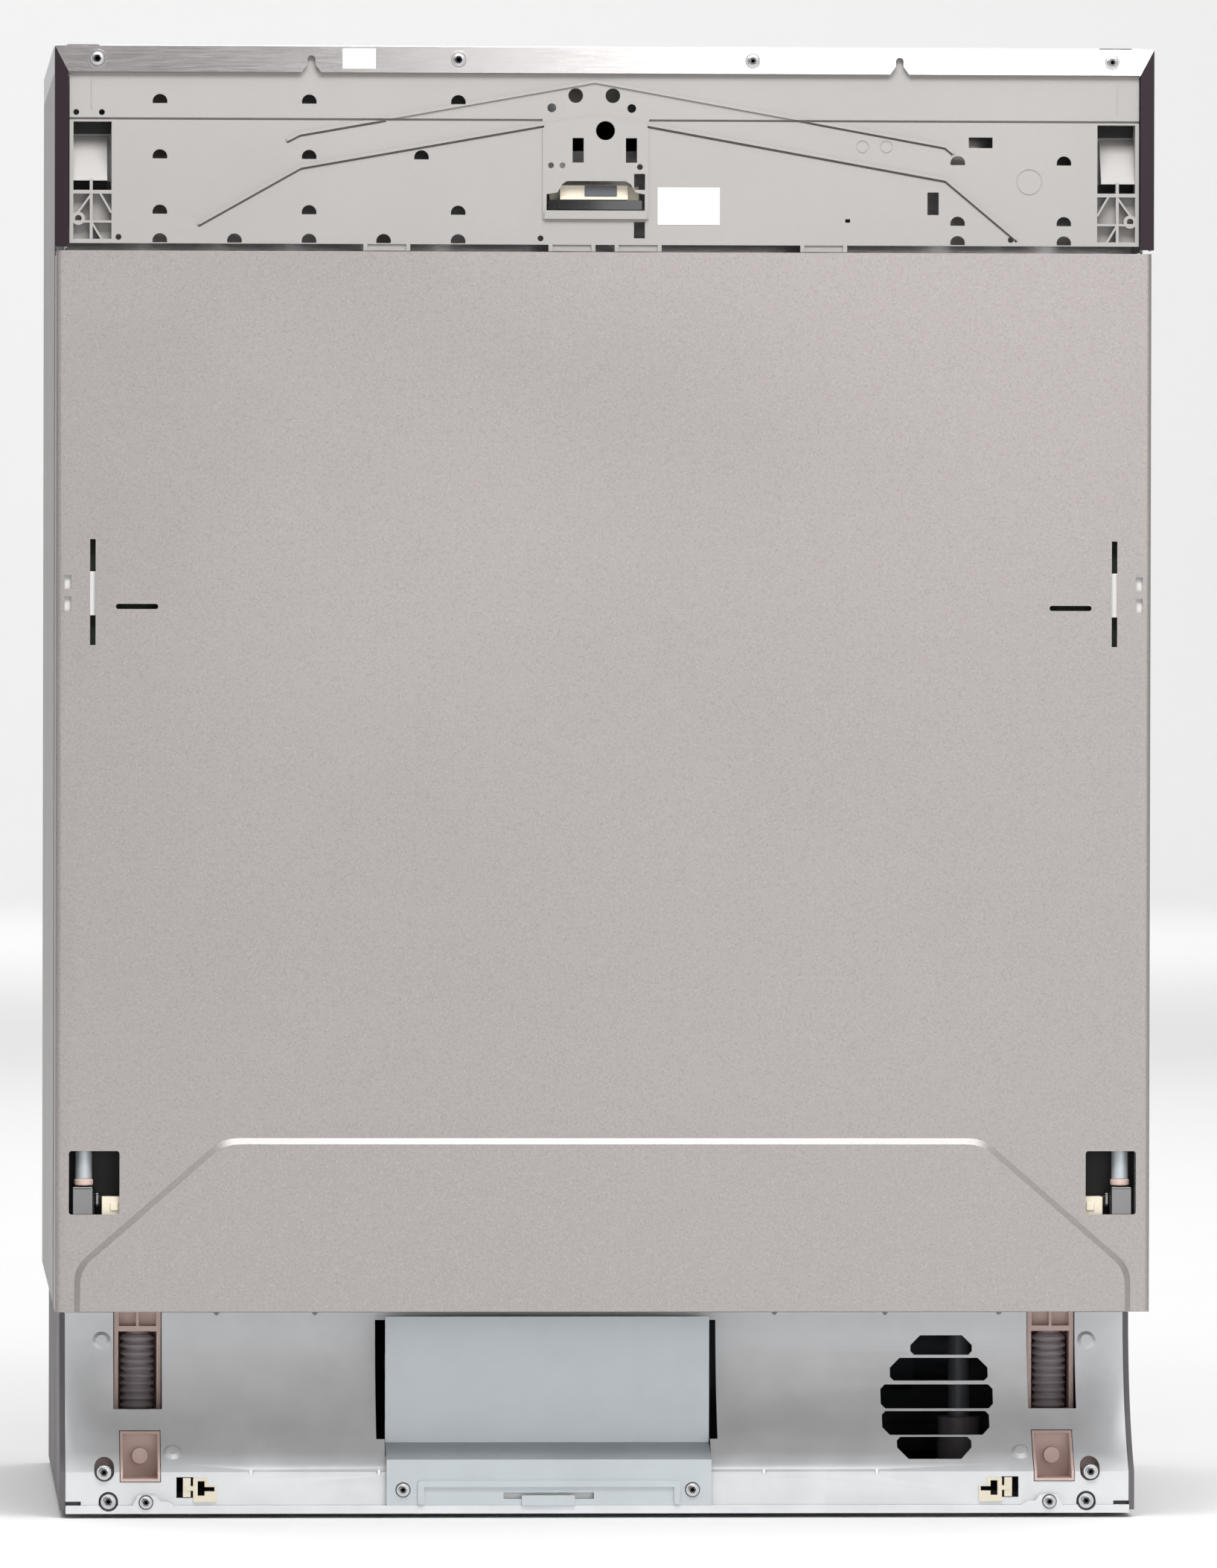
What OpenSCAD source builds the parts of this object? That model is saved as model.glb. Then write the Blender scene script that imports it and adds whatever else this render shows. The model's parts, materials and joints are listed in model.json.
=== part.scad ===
// Fully integrated, panel-ready dishwasher, 60 cm class.
// Right is +X, the rear is +Y and up is +Z. The origin is at the middle of the footprint, on the floor.

/* [Overall] */
// Width over the cabinet sides and the door trims
overall_w = 598; // [592:1:604]
// Height from the floor to the top frame
overall_h = 805; // [800:1:810]
// Depth from the door's lower field to the rear hose connectors
overall_d = 570; // [564:1:576]

/* [Door] */
// Height of the lower edge of the outer door sheet
door_bottom = 115; // [112:1:118]
// Height of the upper edge of the outer door sheet
sheet_top = 691; // [690:1:692]
// Thickness of the door, from its face to its liner
door_t = 56; // [54:0.5:58]
// How far the lower field stands proud of the door face
field_proud = 2.5; // [1:0.5:3]
// Height of the door's hinge axis
hinge_z = 128; // [126:1:130]
// Radius of the hinge pins
hinge_pin_r = 4; // [3:0.5:5]
// Height of the top trim strip
trim_h = 14; // [12:1:15]
// Width of the side trims
side_trim_w = 7.5; // [6:0.5:8]

/* [Tub] */
// Inner half width of the tub
tub_half_w = 270; // [268:1:272]
// Height of the tub floor
tub_floor_z = 150; // [149:1:151]
// Height of the tub ceiling
tub_top_z = 775; // [772:1:776]

/* [Racks] */
// Thickness of the rack bars
bar = 4; // [3:0.5:5]
// Height of the lower rack's bottom bars
lower_rack_z = 188; // [186:1:190]
// Height of the upper rack's bottom bars
upper_rack_z = 442; // [440:1:444]
// Height of the cutlery tray's bottom
tray_z = 700; // [698:1:704]

/* [Base] */
// Radius of the concave sweep in the base front sheet
sweep_r = 110; // [106:1:112]
// Thickness of the galvanised sheets
sheet_t = 1.2; // [1:0.1:1.5]
// Travel of the levelling feet
foot_travel = 60; // [40:5:60]

/* [Hidden] */
$fn = 48;
half_w = overall_w / 2;
front_y = -overall_d / 2;
rear_y = overall_d / 2;
face_y = front_y + field_proud;
liner_y = face_y + door_t;
side_x = half_w - 0.5;
carcass_y = liner_y + 4.5;
panel_rear_y = rear_y - 17;
hinge_y = face_y + 32.5;
trim_top = overall_h - 3;
trim_bottom = trim_top - trim_h;
carrier_y = face_y + 2;
carrier_half_w = half_w - side_trim_w - 0.5;
carrier_bottom = sheet_top + 4;
groove_z = 762.6;
rack_front_y = liner_y + 13;
rack_rear_y = 228;
spray_y = 20;
lower_arm_x = -20;
filter_x = 70;
salt_x = -190;
salt_y = -60;
mat_gap = 0.05;
tub_t = 1;
base_half_w = side_x - 4;
base_face_y = front_y + 52;
foot_edge_z = 7;
crease_z = 25;
sweep_turn = 50;
sweep_top = crease_z + sweep_r * sin(sweep_turn);
sweep_y = base_face_y + sweep_r * (1 - cos(sweep_turn));
plate_left = -116;
plate_right = 62;
plate_face_y = base_face_y - 4;
foot_y = -140;
foot_x = 205;
rear_foot_y = 230;

// Shared helpers

// A box between its lowest and its highest corner
module block(lo, hi) translate(lo) cube(hi - lo);

// The children on both sides of the middle plane
module both_sides() {
    children();
    mirror([1, 0, 0]) children();
}

// A flat outline in X and Z, made t thick from y backwards
module facing(y, t) translate([0, y + t, 0]) rotate([90, 0, 0]) linear_extrude(t) children();

// A flat outline in Y and Z, carried across from x0 to x1
module across(x0, x1) translate([x0, 0, 0]) rotate([90, 0, 90]) linear_extrude(x1 - x0) children();

// A flat outline in X and Y, raised from z0 to z1
module upright(z0, z1) translate([0, 0, z0]) linear_extrude(z1 - z0) children();

module rect(x0, x1, z0, z1) translate([x0, z0]) square([x1 - x0, z1 - z0]);

module rounded_rect(x0, x1, z0, z1, r) {
    rect(x0 + r, x1 - r, z0, z1);
    rect(x0, x1, z0 + r, z1 - r);
    for (x = [x0 + r, x1 - r], z = [z0 + r, z1 - r]) translate([x, z]) circle(r);
}

// A slot with round ends, r in half width
module slot(x0, x1, z, r) {
    rect(x0 + r, x1 - r, z - r, z + r);
    for (x = [x0 + r, x1 - r]) translate([x, z]) circle(r);
}

// A straight raised line, w wide, from p to q
module line(p, q, w) {
    run = q - p;
    translate(p) rotate(atan2(run[1], run[0])) translate([-w / 2, -w / 2]) square([norm(run) + w, w]);
}

// A chain of raised lines through the points
module chain(points, w) for (i = [1:len(points) - 1]) line(points[i - 1], points[i], w);

// The points of a rounded corner at b on the way from a to c, reaching r along each side
function corner(a, b, c, r) = let (u = (a - b) / norm(a - b), v = (c - b) / norm(c - b))
    [for (t = [0:0.25:1]) b + u * r * pow(1 - t, 2) + v * r * pow(t, 2)];

module rod_x(x0, x1, y, z, r) translate([x0, y, z]) rotate([0, 90, 0]) cylinder(r = r, h = x1 - x0);
module rod_y(x, y0, y1, z, r) translate([x, y0, z]) rotate([-90, 0, 0]) cylinder(r = r, h = y1 - y0);
module rod_z(x, y, z0, z1, r) translate([x, y, z0]) cylinder(r = r, h = z1 - z0);

function arc(c, r, a0, a1, n) = [
    for (i = [0:n]) c + r * [cos(a0 + (a1 - a0) * i / n), sin(a0 + (a1 - a0) * i / n)]
];

screw_head_t = 1.4;

// A screw with a star recess, its head towards the front
module screw(x, z, y, r) difference() {
    rod_y(x, y - screw_head_t, y + 0.001, z, r);
    for (a = [0, 60, 120]) translate([x, y - screw_head_t - 0.1, z]) rotate([0, a, 0])
        translate([-r * 0.55, 0, -r / 7]) cube([r * 1.1, 1, r / 3.5]);
}

// Cabinet

module side_panel() {
    wall = 0.7;
    upright(door_bottom + 2, overall_h - 15) difference() {
        rect(-side_x, -side_x + 13, carcass_y, panel_rear_y);
        rect(-side_x + wall, -side_x + 14, carcass_y - 1, panel_rear_y - wall);
    }
}

module side_panel_left() color([0.70, 0.70, 0.69]) side_panel();
module side_panel_right() color([0.70, 0.70, 0.69]) mirror([1, 0, 0]) side_panel();

module rear_panel() color([0.72, 0.73, 0.74]) difference() {
    wall = 0.8;
    union() {
        y = panel_rear_y;
        block([-side_x + 1.2, y, door_bottom + 2], [side_x - 1.2, y + wall, overall_h - 15]);
        for (z = [250, 420, 590]) block([-230, y + wall, z], [230, y + 2 * wall, z + 90]);
    }
    for (x = [-270:60:270], z = [150, 760]) rod_y(x, panel_rear_y - 1, panel_rear_y + 5, z, 2.5);
}

module top_frame() color([0.74, 0.75, 0.76]) difference() {
    block([-side_x, carcass_y, overall_h - 15], [side_x, panel_rear_y + 1.5, overall_h]);
    block([-side_x + 1.5, carcass_y + 1.5, overall_h - 16], [side_x - 1.5, panel_rear_y, overall_h - 1.5]);
    block([-side_x + 32, carcass_y + 34, overall_h - 2], [side_x - 32, panel_rear_y - 30, overall_h + 1]);
    for (x = [-250, 250]) rod_z(x, carcass_y + 16, overall_h - 2, overall_h + 1, 2.75);
}

// Seal strips and buffers along the front edge of the top frame
module top_seal_strip() {
    y = carcass_y - 0.01;
    color([0.08, 0.08, 0.08]) block([-236, y - 3, overall_h - 3], [-86, y, overall_h - 0.5]);
    color([0.9, 0.9, 0.9]) for (x = [-60, 8, 150])
        block([x, y - 3, overall_h - 2.6], [x + 16, y, overall_h - 0.6]);
    color([0.08, 0.08, 0.08]) both_sides() block([274, y - 3, overall_h - 3], [292, y, overall_h]);
}

module base_tray() color([0.66, 0.65, 0.66]) {
    rear = panel_rear_y + 1.5;
    both_sides() {
        across(base_half_w - 3, base_half_w) polygon(concat(
            [[rear, 4], [base_face_y, 4]],
            arc([sweep_y - sweep_r, sweep_top], sweep_r, -sweep_turn, 0, 8),
            [[sweep_y, door_bottom + 1], [rear, door_bottom + 1]]
        ));
        block([262, base_face_y + 4, foot_edge_z], [base_half_w - 2.9, base_face_y + 8, 16]);
    }
    difference() {
        block([-base_half_w + 3, foot_y - 20, 7], [base_half_w - 3, rear, 10]);
        for (x = [-foot_x, foot_x]) rod_z(x, foot_y, 5, 12, 8);
        rod_z(0, rear_foot_y, 5, 12, 8);
    }
    difference() {
        block([-base_half_w + 3, rear - 3, 10], [base_half_w - 3, rear, door_bottom + 1]);
        rod_y(230, panel_rear_y - 4, panel_rear_y + 4, 70, 16);
        rod_y(170, panel_rear_y - 4, panel_rear_y + 4, 70, 13);
    }
    for (p = [[-foot_x, foot_y], [foot_x, foot_y], [0, rear_foot_y]]) difference() {
        rod_z(p[0], p[1], 7, 50, 12);
        rod_z(p[0], p[1], 5, 52, 6.05);
    }
}

// The galvanised front sheet of the base: an upright foot, a crease, a concave sweep and a flange
module sweep_section() {
    centre = [sweep_y - sweep_r, sweep_top];
    rear_turn = acos((sweep_r * cos(sweep_turn) + sheet_t) / (sweep_r + sheet_t));
    polygon(concat(
        [[sweep_y + 9, sweep_top], [sweep_y + 9, sweep_top + sheet_t], [sweep_y, sweep_top + sheet_t]],
        arc(centre, sweep_r, 0, -sweep_turn, 14),
        [[base_face_y, foot_edge_z], [base_face_y + sheet_t, foot_edge_z]],
        arc(centre, sweep_r + sheet_t, -rear_turn, 0, 14)
    ));
}

function sweep_angle(z) = asin((z - sweep_top) / sweep_r);
function sweep_at(z) = sweep_y - sweep_r * (1 - cos(sweep_angle(z)));

// A blunt pressed dome on the sweep
module dome(x, z) translate([x, sweep_at(z) + 0.4, z]) rotate([90 + sweep_angle(z), 0, 0])
    cylinder(r1 = 5.6, r2 = 3, h = 2.2);

// A short groove pressed across an edge
module dent(x, y, z, tilt) translate([x, y, z]) rotate([-tilt, 0, 0]) cylinder(r = 1.9, h = 11, center = true);

// One vent, its upper and lower corners cut off
module vent(x0, x1, z0, z1, upper, lower) polygon([
    [x0 + lower, z0], [x1 - lower, z0], [x1, z0 + lower], [x1, z1 - upper],
    [x1 - upper, z1], [x0 + upper, z1], [x0, z1 - upper], [x0, z0 + lower]
]);

module vents() {
    vent(174, 208, 87, 97.7, 5.4, 2);
    vent(162.5, 216.5, 73, 85.4, 5.4, 2);
    vent(157, 219, 58, 71, 2.5, 2.5);
    vent(157.4, 216.5, 44, 56.7, 2, 4);
    vent(165, 206, 31.4, 43, 2, 6);
}

module base_front_sheet() color([0.76, 0.77, 0.78]) difference() {
    union() {
        across(-base_half_w + 3.1, base_half_w - 3.1) sweep_section();
        both_sides() {
            dome(232.8, 35);
            dome(271.2, 95);
        }
    }
    facing(base_face_y - 5, 90) vents();
    block([plate_left - 5, base_face_y + 8, 42], [plate_right + 4.5, sweep_y + 5, sweep_top - 3]);
    block([plate_left - 0.4, base_face_y, 33], [plate_right + 0.4, sweep_y, 43]);
    for (x = [-190, -120, 91, 153]) dent(x, base_face_y - 1, crease_z + 0.4, sweep_turn / 2);
    for (x = [-208, -154, 99, 160, 223]) dent(x, sweep_y - 0.9, sweep_top + sheet_t + 0.6, 30);
    both_sides() {
        block([238.2, base_face_y + 1, 58], [264.8, sweep_y + 12, 120]);
        facing(base_face_y - 5, 60) rect(239.2, 261.8, 19.6, 46.8);
        facing(base_face_y - 5, 30) rounded_rect(264.8, 275.6, 20, 33, 5.3);
        facing(base_face_y - 5, 8) {
            translate([268, 9]) circle(5.3);
            rect(262.7, 273.3, foot_edge_z - 1, 9);
            rect(283, 293, foot_edge_z - 1, 9);
            rect(221.4, 230.8, 11, 22.3);
            rect(215.2, 219.4, 12, 20.4);
            rect(209.8, 215.4, 14.4, 17.2);
        }
    }
}

module base_center_plate() color([0.70, 0.73, 0.76]) {
    top_y = sweep_y - 18;
    difference() {
        union() {
            across(plate_left, plate_right) polygon([
                [top_y, door_bottom - 6], [top_y, 40], [plate_face_y, 32], [plate_face_y, foot_edge_z],
                [plate_face_y + sheet_t, foot_edge_z], [plate_face_y + sheet_t, 32 - sheet_t],
                [top_y + sheet_t, 40 - sheet_t], [top_y + sheet_t, door_bottom - 6]
            ]);
            facing(plate_face_y - 1.5, 1.7) {
                rounded_rect(-99, 45, 17, 20.5, 1.7);
                for (x = [-99, 41.4]) rounded_rect(x, x + 3.6, foot_edge_z + 0.5, 20.5, 1.7);
            }
        }
        facing(plate_face_y - 3, 6) rect(-52, -2.5, 10.5, 14);
        for (x = [-107, 51.5]) rod_y(x, plate_face_y - 3, plate_face_y + 4, 15.5, 2);
    }
    facing(plate_face_y - 1.5, 1.5) rect(-42, -13, foot_edge_z, 10.4);
    block([-42, plate_face_y - 1.5, 10.2], [-13, plate_face_y - 0.3, 12.5]);
}

module base_lower_rail() color([0.80, 0.80, 0.80]) {
    difference() {
        block([-base_half_w + 3.1, plate_face_y, 2.5], [base_half_w - 3.1, base_face_y + 12, foot_edge_z - 0.1]);
        for (x = [-268, 268]) rod_y(x, plate_face_y - 1, base_face_y + 6, 9, 5.3);
    }
    both_sides() difference() {
        facing(plate_face_y, 1.5) polygon([
            [231, 6], [235.5, 9.2], [239.5, 9.2], [242.3, 12.6], [252, 12.6], [255.5, 6]
        ]);
        rod_y(247.5, plate_face_y - 2, plate_face_y + 1.49, 8.8, 2);
    }
}

module base_screws() color([0.62, 0.62, 0.63]) {
    for (x = [-107, 51.5]) union() {
        screw(x, 15.5, plate_face_y, 3.5);
        rod_y(x, plate_face_y, plate_face_y + 3.4, 15.5, 1.9);
    }
    both_sides() {
        screw(247.5, 8.8, plate_face_y, 3.4);
        screw(268, 9, base_face_y + 0.4, 4);
        rod_y(268, base_face_y + 0.4, base_face_y + 3.99, 9, 2);
        screw(270.4, 25, base_face_y - 1, 3.9);
        rod_y(270.4, base_face_y - 1, base_face_y + 15.99, 25, 2.6);
    }
}

// The frames that hold the door springs, one behind each window of the base front, and the pockets below
module spring_guides() color([0.72, 0.58, 0.53]) both_sides() {
    difference() {
        block([238.6, sweep_y + 1.5, 54], [264.4, sweep_y + 34, door_bottom + 1.5]);
        block([241, sweep_y - 1, 57], [262, sweep_y + 31, 100]);
        for (x = [241.3, 252.3]) block([x, sweep_y - 1, 103], [x + 9.4, sweep_y + 6, 111.5]);
        rod_z(251.5, sweep_y + 15, 50, 120, 7);
    }
    difference() {
        union() {
            block([239.6, base_face_y - 0.8, 20], [261.4, base_face_y + 28, 46.4]);
            block([258, base_face_y + 16, 18], [280, base_face_y + 20, 34]);
        }
        block([241, base_face_y - 2, 21.4], [260, base_face_y + 23, 45]);
        rod_x(235, 262, sweep_y - sweep_r, sweep_top, sweep_r - 0.8);
    }
    rod_y(250.5, base_face_y + 17, base_face_y + 24, 33, 4.4);
}

module door_springs() color([0.25, 0.25, 0.26]) both_sides() {
    pitch = 4.1;
    rings = 10;
    core_r = 7.4;
    translate([251.5, sweep_y + 15, 57.1]) rotate_extrude() polygon(concat(
        [[0, 0], [core_r, 0]],
        [for (i = [0:rings - 1], p = [[8.9, 0.2], [9.7, 0.45], [8.9, 0.7], [core_r, 1]])
            [p[0], (i + p[1]) * pitch]],
        [[6.4, rings * pitch + 0.4], [6.4, rings * pitch + 1.6], [0, rings * pitch + 1.6]]
    ));
}

// A clip beside each black window, with a T-shaped slot and a tongue that reaches through the window
module base_clips() color([0.86, 0.82, 0.72]) both_sides() {
    facing(base_face_y - 1, 0.99) difference() {
        union() {
            rect(209, 221.7, 8.7, 17.6);
            rect(213.5, 221.7, 8.7, 21.7);
        }
        rect(215.4, 219.2, 12.2, 20.2);
        rect(210, 215.5, 14.6, 17);
    }
    block([221.6, base_face_y - 1, 15], [226, base_face_y + 2.5, 17.4]);
    block([223, base_face_y - 0.6, 11.4], [227.2, base_face_y + 2.5, 21.9]);
}

// Tub

module tub_outline(grow, bottom) {
    r = 18;
    rect(-tub_half_w - grow, tub_half_w + grow, bottom, tub_top_z + grow - r);
    rect(-tub_half_w - grow + r, tub_half_w + grow - r, tub_top_z - r, tub_top_z + grow);
    for (x = [-1, 1]) translate([x * (tub_half_w + grow - r), tub_top_z + grow - r]) circle(r);
}

module tub_wrap() color([0.78, 0.79, 0.80]) {
    facing(carcass_y + 3, 466) difference() {
        tub_outline(0.7, tub_floor_z);
        tub_outline(0, tub_floor_z - 5);
    }
    rod_z(0, spray_y, 758, tub_top_z, 8);
}

module tub_rear_wall() color([0.78, 0.79, 0.80]) {
    rear = carcass_y + 469;
    facing(rear, 0.8) tub_outline(tub_t, tub_floor_z - tub_t);
    for (z = [200, 430, 660]) block([-200, rear - 0.8, z], [200, rear, z + 60]);
}

module tub_floor() color([0.72, 0.73, 0.74]) {
    low = tub_floor_z - tub_t;
    difference() {
        block([-tub_half_w - tub_t, carcass_y + 3, low], [tub_half_w + tub_t, carcass_y + 469, tub_floor_z]);
        rod_z(filter_x, spray_y, low - 1, tub_floor_z + 1, 56);
        rod_z(lower_arm_x, spray_y, low - 1, tub_floor_z + 1, 12);
        rod_z(salt_x, salt_y, low - 1, tub_floor_z + 1, 34);
    }
    both_sides() block([242, carcass_y + 10, tub_floor_z], [262, carcass_y + 455, tub_floor_z + 1.5]);
}

module tub_front_frame() color([0.76, 0.77, 0.78]) facing(carcass_y, 3) difference() {
    rect(-side_x + 1.2, side_x - 1.2, tub_floor_z - 20, overall_h - 15);
    tub_outline(0, tub_floor_z);
    both_sides() rect(285, 292, tub_floor_z - 21, hinge_z + 16);
}

module door_seal() color([0.06, 0.06, 0.06]) facing(liner_y + 0.5, carcass_y - liner_y - 0.5) difference() {
    tub_outline(9, tub_floor_z);
    tub_outline(1, tub_floor_z - 5);
}

// Wet and electric parts in the base

module sump() color([0.30, 0.32, 0.35]) {
    difference() {
        union() {
            rod_z(filter_x, spray_y, tub_floor_z - 6, tub_floor_z - tub_t - 0.01, 66);
            rod_z(filter_x, spray_y, 60, tub_floor_z - 5, 60);
        }
        rod_z(filter_x, spray_y, 64, tub_floor_z, 55);
    }
    difference() {
        union() {
            rod_z(lower_arm_x, spray_y, 66, 178, 10);
            block([lower_arm_x - 10, spray_y - 10, 66], [filter_x - 57, spray_y + 10, 90]);
        }
        rod_z(lower_arm_x, spray_y, 72, 179, 6);
    }
}

module circulation_pump() color([0.82, 0.82, 0.80]) {
    rod_y(-60, 90, 190, 62, 42);
    rod_y(-60, 190, 214, 62, 30);
    rod_y(-60, 52, 90.5, 62, 20);
    rod_z(-60, 70, 62, 110, 14);
}

module drain_pump() color([0.22, 0.24, 0.28]) {
    rod_x(140, 190, 20, 80, 24);
    rod_x(190, 222, 20, 80, 18);
    rod_y(165, 30, 110, 92, 9);
}

module water_softener() color([0.88, 0.88, 0.86]) difference() {
    union() {
        block([-268, -110, 20], [-120, 40, 130]);
        rod_z(salt_x, salt_y, 129, tub_floor_z + 2, 33);
    }
    block([-265, -107, 23], [-123, 37, 127]);
    rod_z(salt_x, salt_y, 100, tub_floor_z + 3, 27);
}

module power_module() color([0.20, 0.20, 0.22]) difference() {
    block([150, 140, 14], [262, 236, 112]);
    block([160, 139, 30], [250, 142, 96]);
    for (x = [165:14:245]) block([x, 235, 30], [x + 6, 240, 96]);
}

// A threaded water inlet, 3/4 inch
module inlet_connector() color([0.86, 0.86, 0.84]) {
    block([212, 245, 46], [248, panel_rear_y - 1.51, 94]);
    rod_y(230, panel_rear_y - 1.52, rear_y, 70, 13.2);
}

module drain_connector() color([0.30, 0.30, 0.32]) {
    block([155, 245, 56], [185, panel_rear_y - 1.51, 84]);
    rod_y(170, panel_rear_y - 1.52, rear_y, 70, 10.5);
}

module hinge_brackets() color([0.55, 0.57, 0.60]) both_sides() {
    difference() {
        union() {
            rod_x(287, 290, hinge_y, hinge_z, 14);
            block([287, hinge_y, hinge_z - 14], [290, carcass_y + 40, hinge_z + 14]);
        }
        rod_x(286, 291, carcass_y + 28, hinge_z, 3);
    }
    rod_x(270, 288, hinge_y, hinge_z, hinge_pin_r);
}

// Slide rails on the tub walls, for the upper rack and the cutlery tray
module rack_rails() color([0.80, 0.81, 0.82]) both_sides() {
    for (z = [570, tray_z + 14]) difference() {
        block([259, rack_front_y + 4, z], [tub_half_w - 0.01, 236, z + 16]);
        block([258, rack_front_y, z + 4], [265, 226, z + 12]);
    }
}

// Door

module door_outline_plan(inset) {
    r = 3;
    x = half_w - 1 - inset;
    y = face_y + inset;
    rect(-x + r, x - r, y, liner_y - 1);
    rect(-x, x, y + r, liner_y - 1);
    for (s = [-1, 1]) translate([s * (x - r), y + r]) circle(r);
}

// The lower field: a wide trapezium with rounded corners, proud of the door sheet on a sloped border
module lower_field_outline(inset) {
    low = [287.5 - inset, door_bottom + 0.5];
    side = [287.5 - inset, 139.5 - inset * 0.45];
    top = [207 - inset * 0.38, 209.5 - inset];
    half = concat([low], corner(low, side, top, 8), corner(side, top, [-top[0], top[1]], 8));
    polygon(concat(half, [for (i = [len(half) - 1:-1:0]) [-half[i][0], half[i][1]]]));
}

module sheet_openings() both_sides() {
    rect(276.5, 279.5, 477, 534.5);
    slot(242.5, 265.5, 498, 1.4);
    rect(289.7, 293.3, 507.5, 515);
    rect(289.7, 293.3, 495.7, 503.3);
    rounded_rect(263, 290.5, 168, 202.5, 1.5);
}

module outer_door_panel() color([0.71, 0.68, 0.66]) difference() {
    wall = 0.8;
    union() {
        difference() {
            upright(door_bottom, sheet_top) door_outline_plan(0);
            upright(door_bottom - 1, sheet_top - wall) door_outline_plan(wall);
            block([-half_w, face_y + 20, sheet_top - 2], [half_w, liner_y, sheet_top + 1]);
        }
        block([-274, face_y + 0.5, door_bottom], [274, liner_y - 6, door_bottom + wall]);
        hull() {
            facing(face_y - 0.01, 0.1) lower_field_outline(0);
            facing(front_y, 0.1) lower_field_outline(3.2);
        }
    }
    facing(face_y - 5, 10) sheet_openings();
}

module inner_door_panel() color([0.78, 0.79, 0.80]) {
    wall = 1.2;
    difference() {
        block([-285.5, liner_y - wall, hinge_z + 8], [285.5, liner_y, trim_bottom]);
        block([32, liner_y - 3, 442], [208, liner_y + 1, 588]);
        block([-28, liner_y - 3, trim_bottom - 40], [28, liner_y + 1, trim_bottom - 20]);
    }
    both_sides() {
        block([292, face_y + 8, sheet_top + 1], [293.2, liner_y, trim_bottom]);
        block([285, liner_y - wall, sheet_top + 1], [293.2, liner_y, trim_bottom]);
    }
}

// Holes of the fascia, as X and Z
half_moons = concat(
    [for (x = [-242, -161, -80]) [x, 772]],
    [for (x = [-242, -161, -100]) [x, 742]],
    [for (x = [-242, -161, -80]) [x, 712]],
    [for (x = [-242:40.5:-80]) [x, 696.5]],
    [for (x = [192, 250], z = [740, 707, 696.5]) [x, z]]
);
pin_holes = [
    [-287.4, 766], [-273.5, 766], [-264.4, 698.4], [-35.2, 698.4], [221, 698.4],
    [-29.6, 738], [-23.4, 738], [18.8, 737.3]
];
upper_rib = [[-172.5, 751.6], [-166, 754.9], [-5.6, 783.7], [184.9, 749.3], [189.2, 745.9]];
lower_rib_left = [[-220.5, 705.9], [-165.5, 736.9], [-34, 760.3]];
lower_rib_right = [[23.5, 760.3], [185.2, 731.2], [223.8, 699]];

// The latch opening: a low slot with a raised middle between two sloping shoulders
module latch_opening() polygon([
    [-32, 713.6], [21.5, 713.6], [21.5, 722.4], [16.5, 723.4], [13.8, 728], [11, 729.6],
    [-20.8, 729.6], [-23.4, 728], [-26, 723.4], [-32, 722.4]
]);

module fascia_openings() {
    for (p = half_moons) intersection() {
        translate(p) circle(4);
        rect(p[0] - 5, p[0] + 5, p[1] - 1, p[1] + 5);
    }
    for (p = pin_holes) translate(p) circle(1.6);
    for (p = [[-29.2, 769.3], [14.3, 769.1]]) translate(p) circle(2.4);
    for (x = [-16.2, 4]) translate([x, 776]) circle(4);
    translate([0, 757]) circle(5.2);
    for (x = [-17.9, 11.1]) rect(x, x + 6.1, 739.6, 753);
    rect(15.6, 21.6, 724.9, 733.6);
    rect(15.6, 21.6, 698.6, 707.5);
    rect(130.7, 133.4, 707.5, 709.4);
    rect(198, 211, 748.3, 754.1);
    rect(175.5, 181.7, 711.8, 724.1);
    latch_opening();
}

// The open frames and the ribbed wells at the ends of the fascia, made for the right side
module corner_well_cuts() {
    block([268.2, carrier_y - 3, 723.8], [288.9, carrier_y + 16, 761]);
    block([268.2, carrier_y - 3, 697.3], [288.9, carrier_y + 6, 721.8]);
}

module corner_well_ribs() {
    facing(carrier_y + 0.1, 6) {
        line([279.2, 697], [279.2, 729], 1.6);
        line([268, 706.7], [289, 706.7], 1.2);
        line([286.8, 711], [279.2, 721.5], 1.1);
        line([274, 721.5], [268.5, 712], 1.1);
        line([278.5, 705.5], [273.4, 697], 1.1);
    }
    difference() {
        rod_y(286.2, carrier_y + 0.1, carrier_y + 6, 708.4, 3.6);
        rod_y(286.2, carrier_y - 1, carrier_y + 5, 708.4, 1.8);
    }
    across(270.5, 288.9) polygon([
        [carrier_y + 1.5, 729], [carrier_y + 15, 753], [carrier_y + 17, 753], [carrier_y + 17, 729]
    ]);
}

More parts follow.
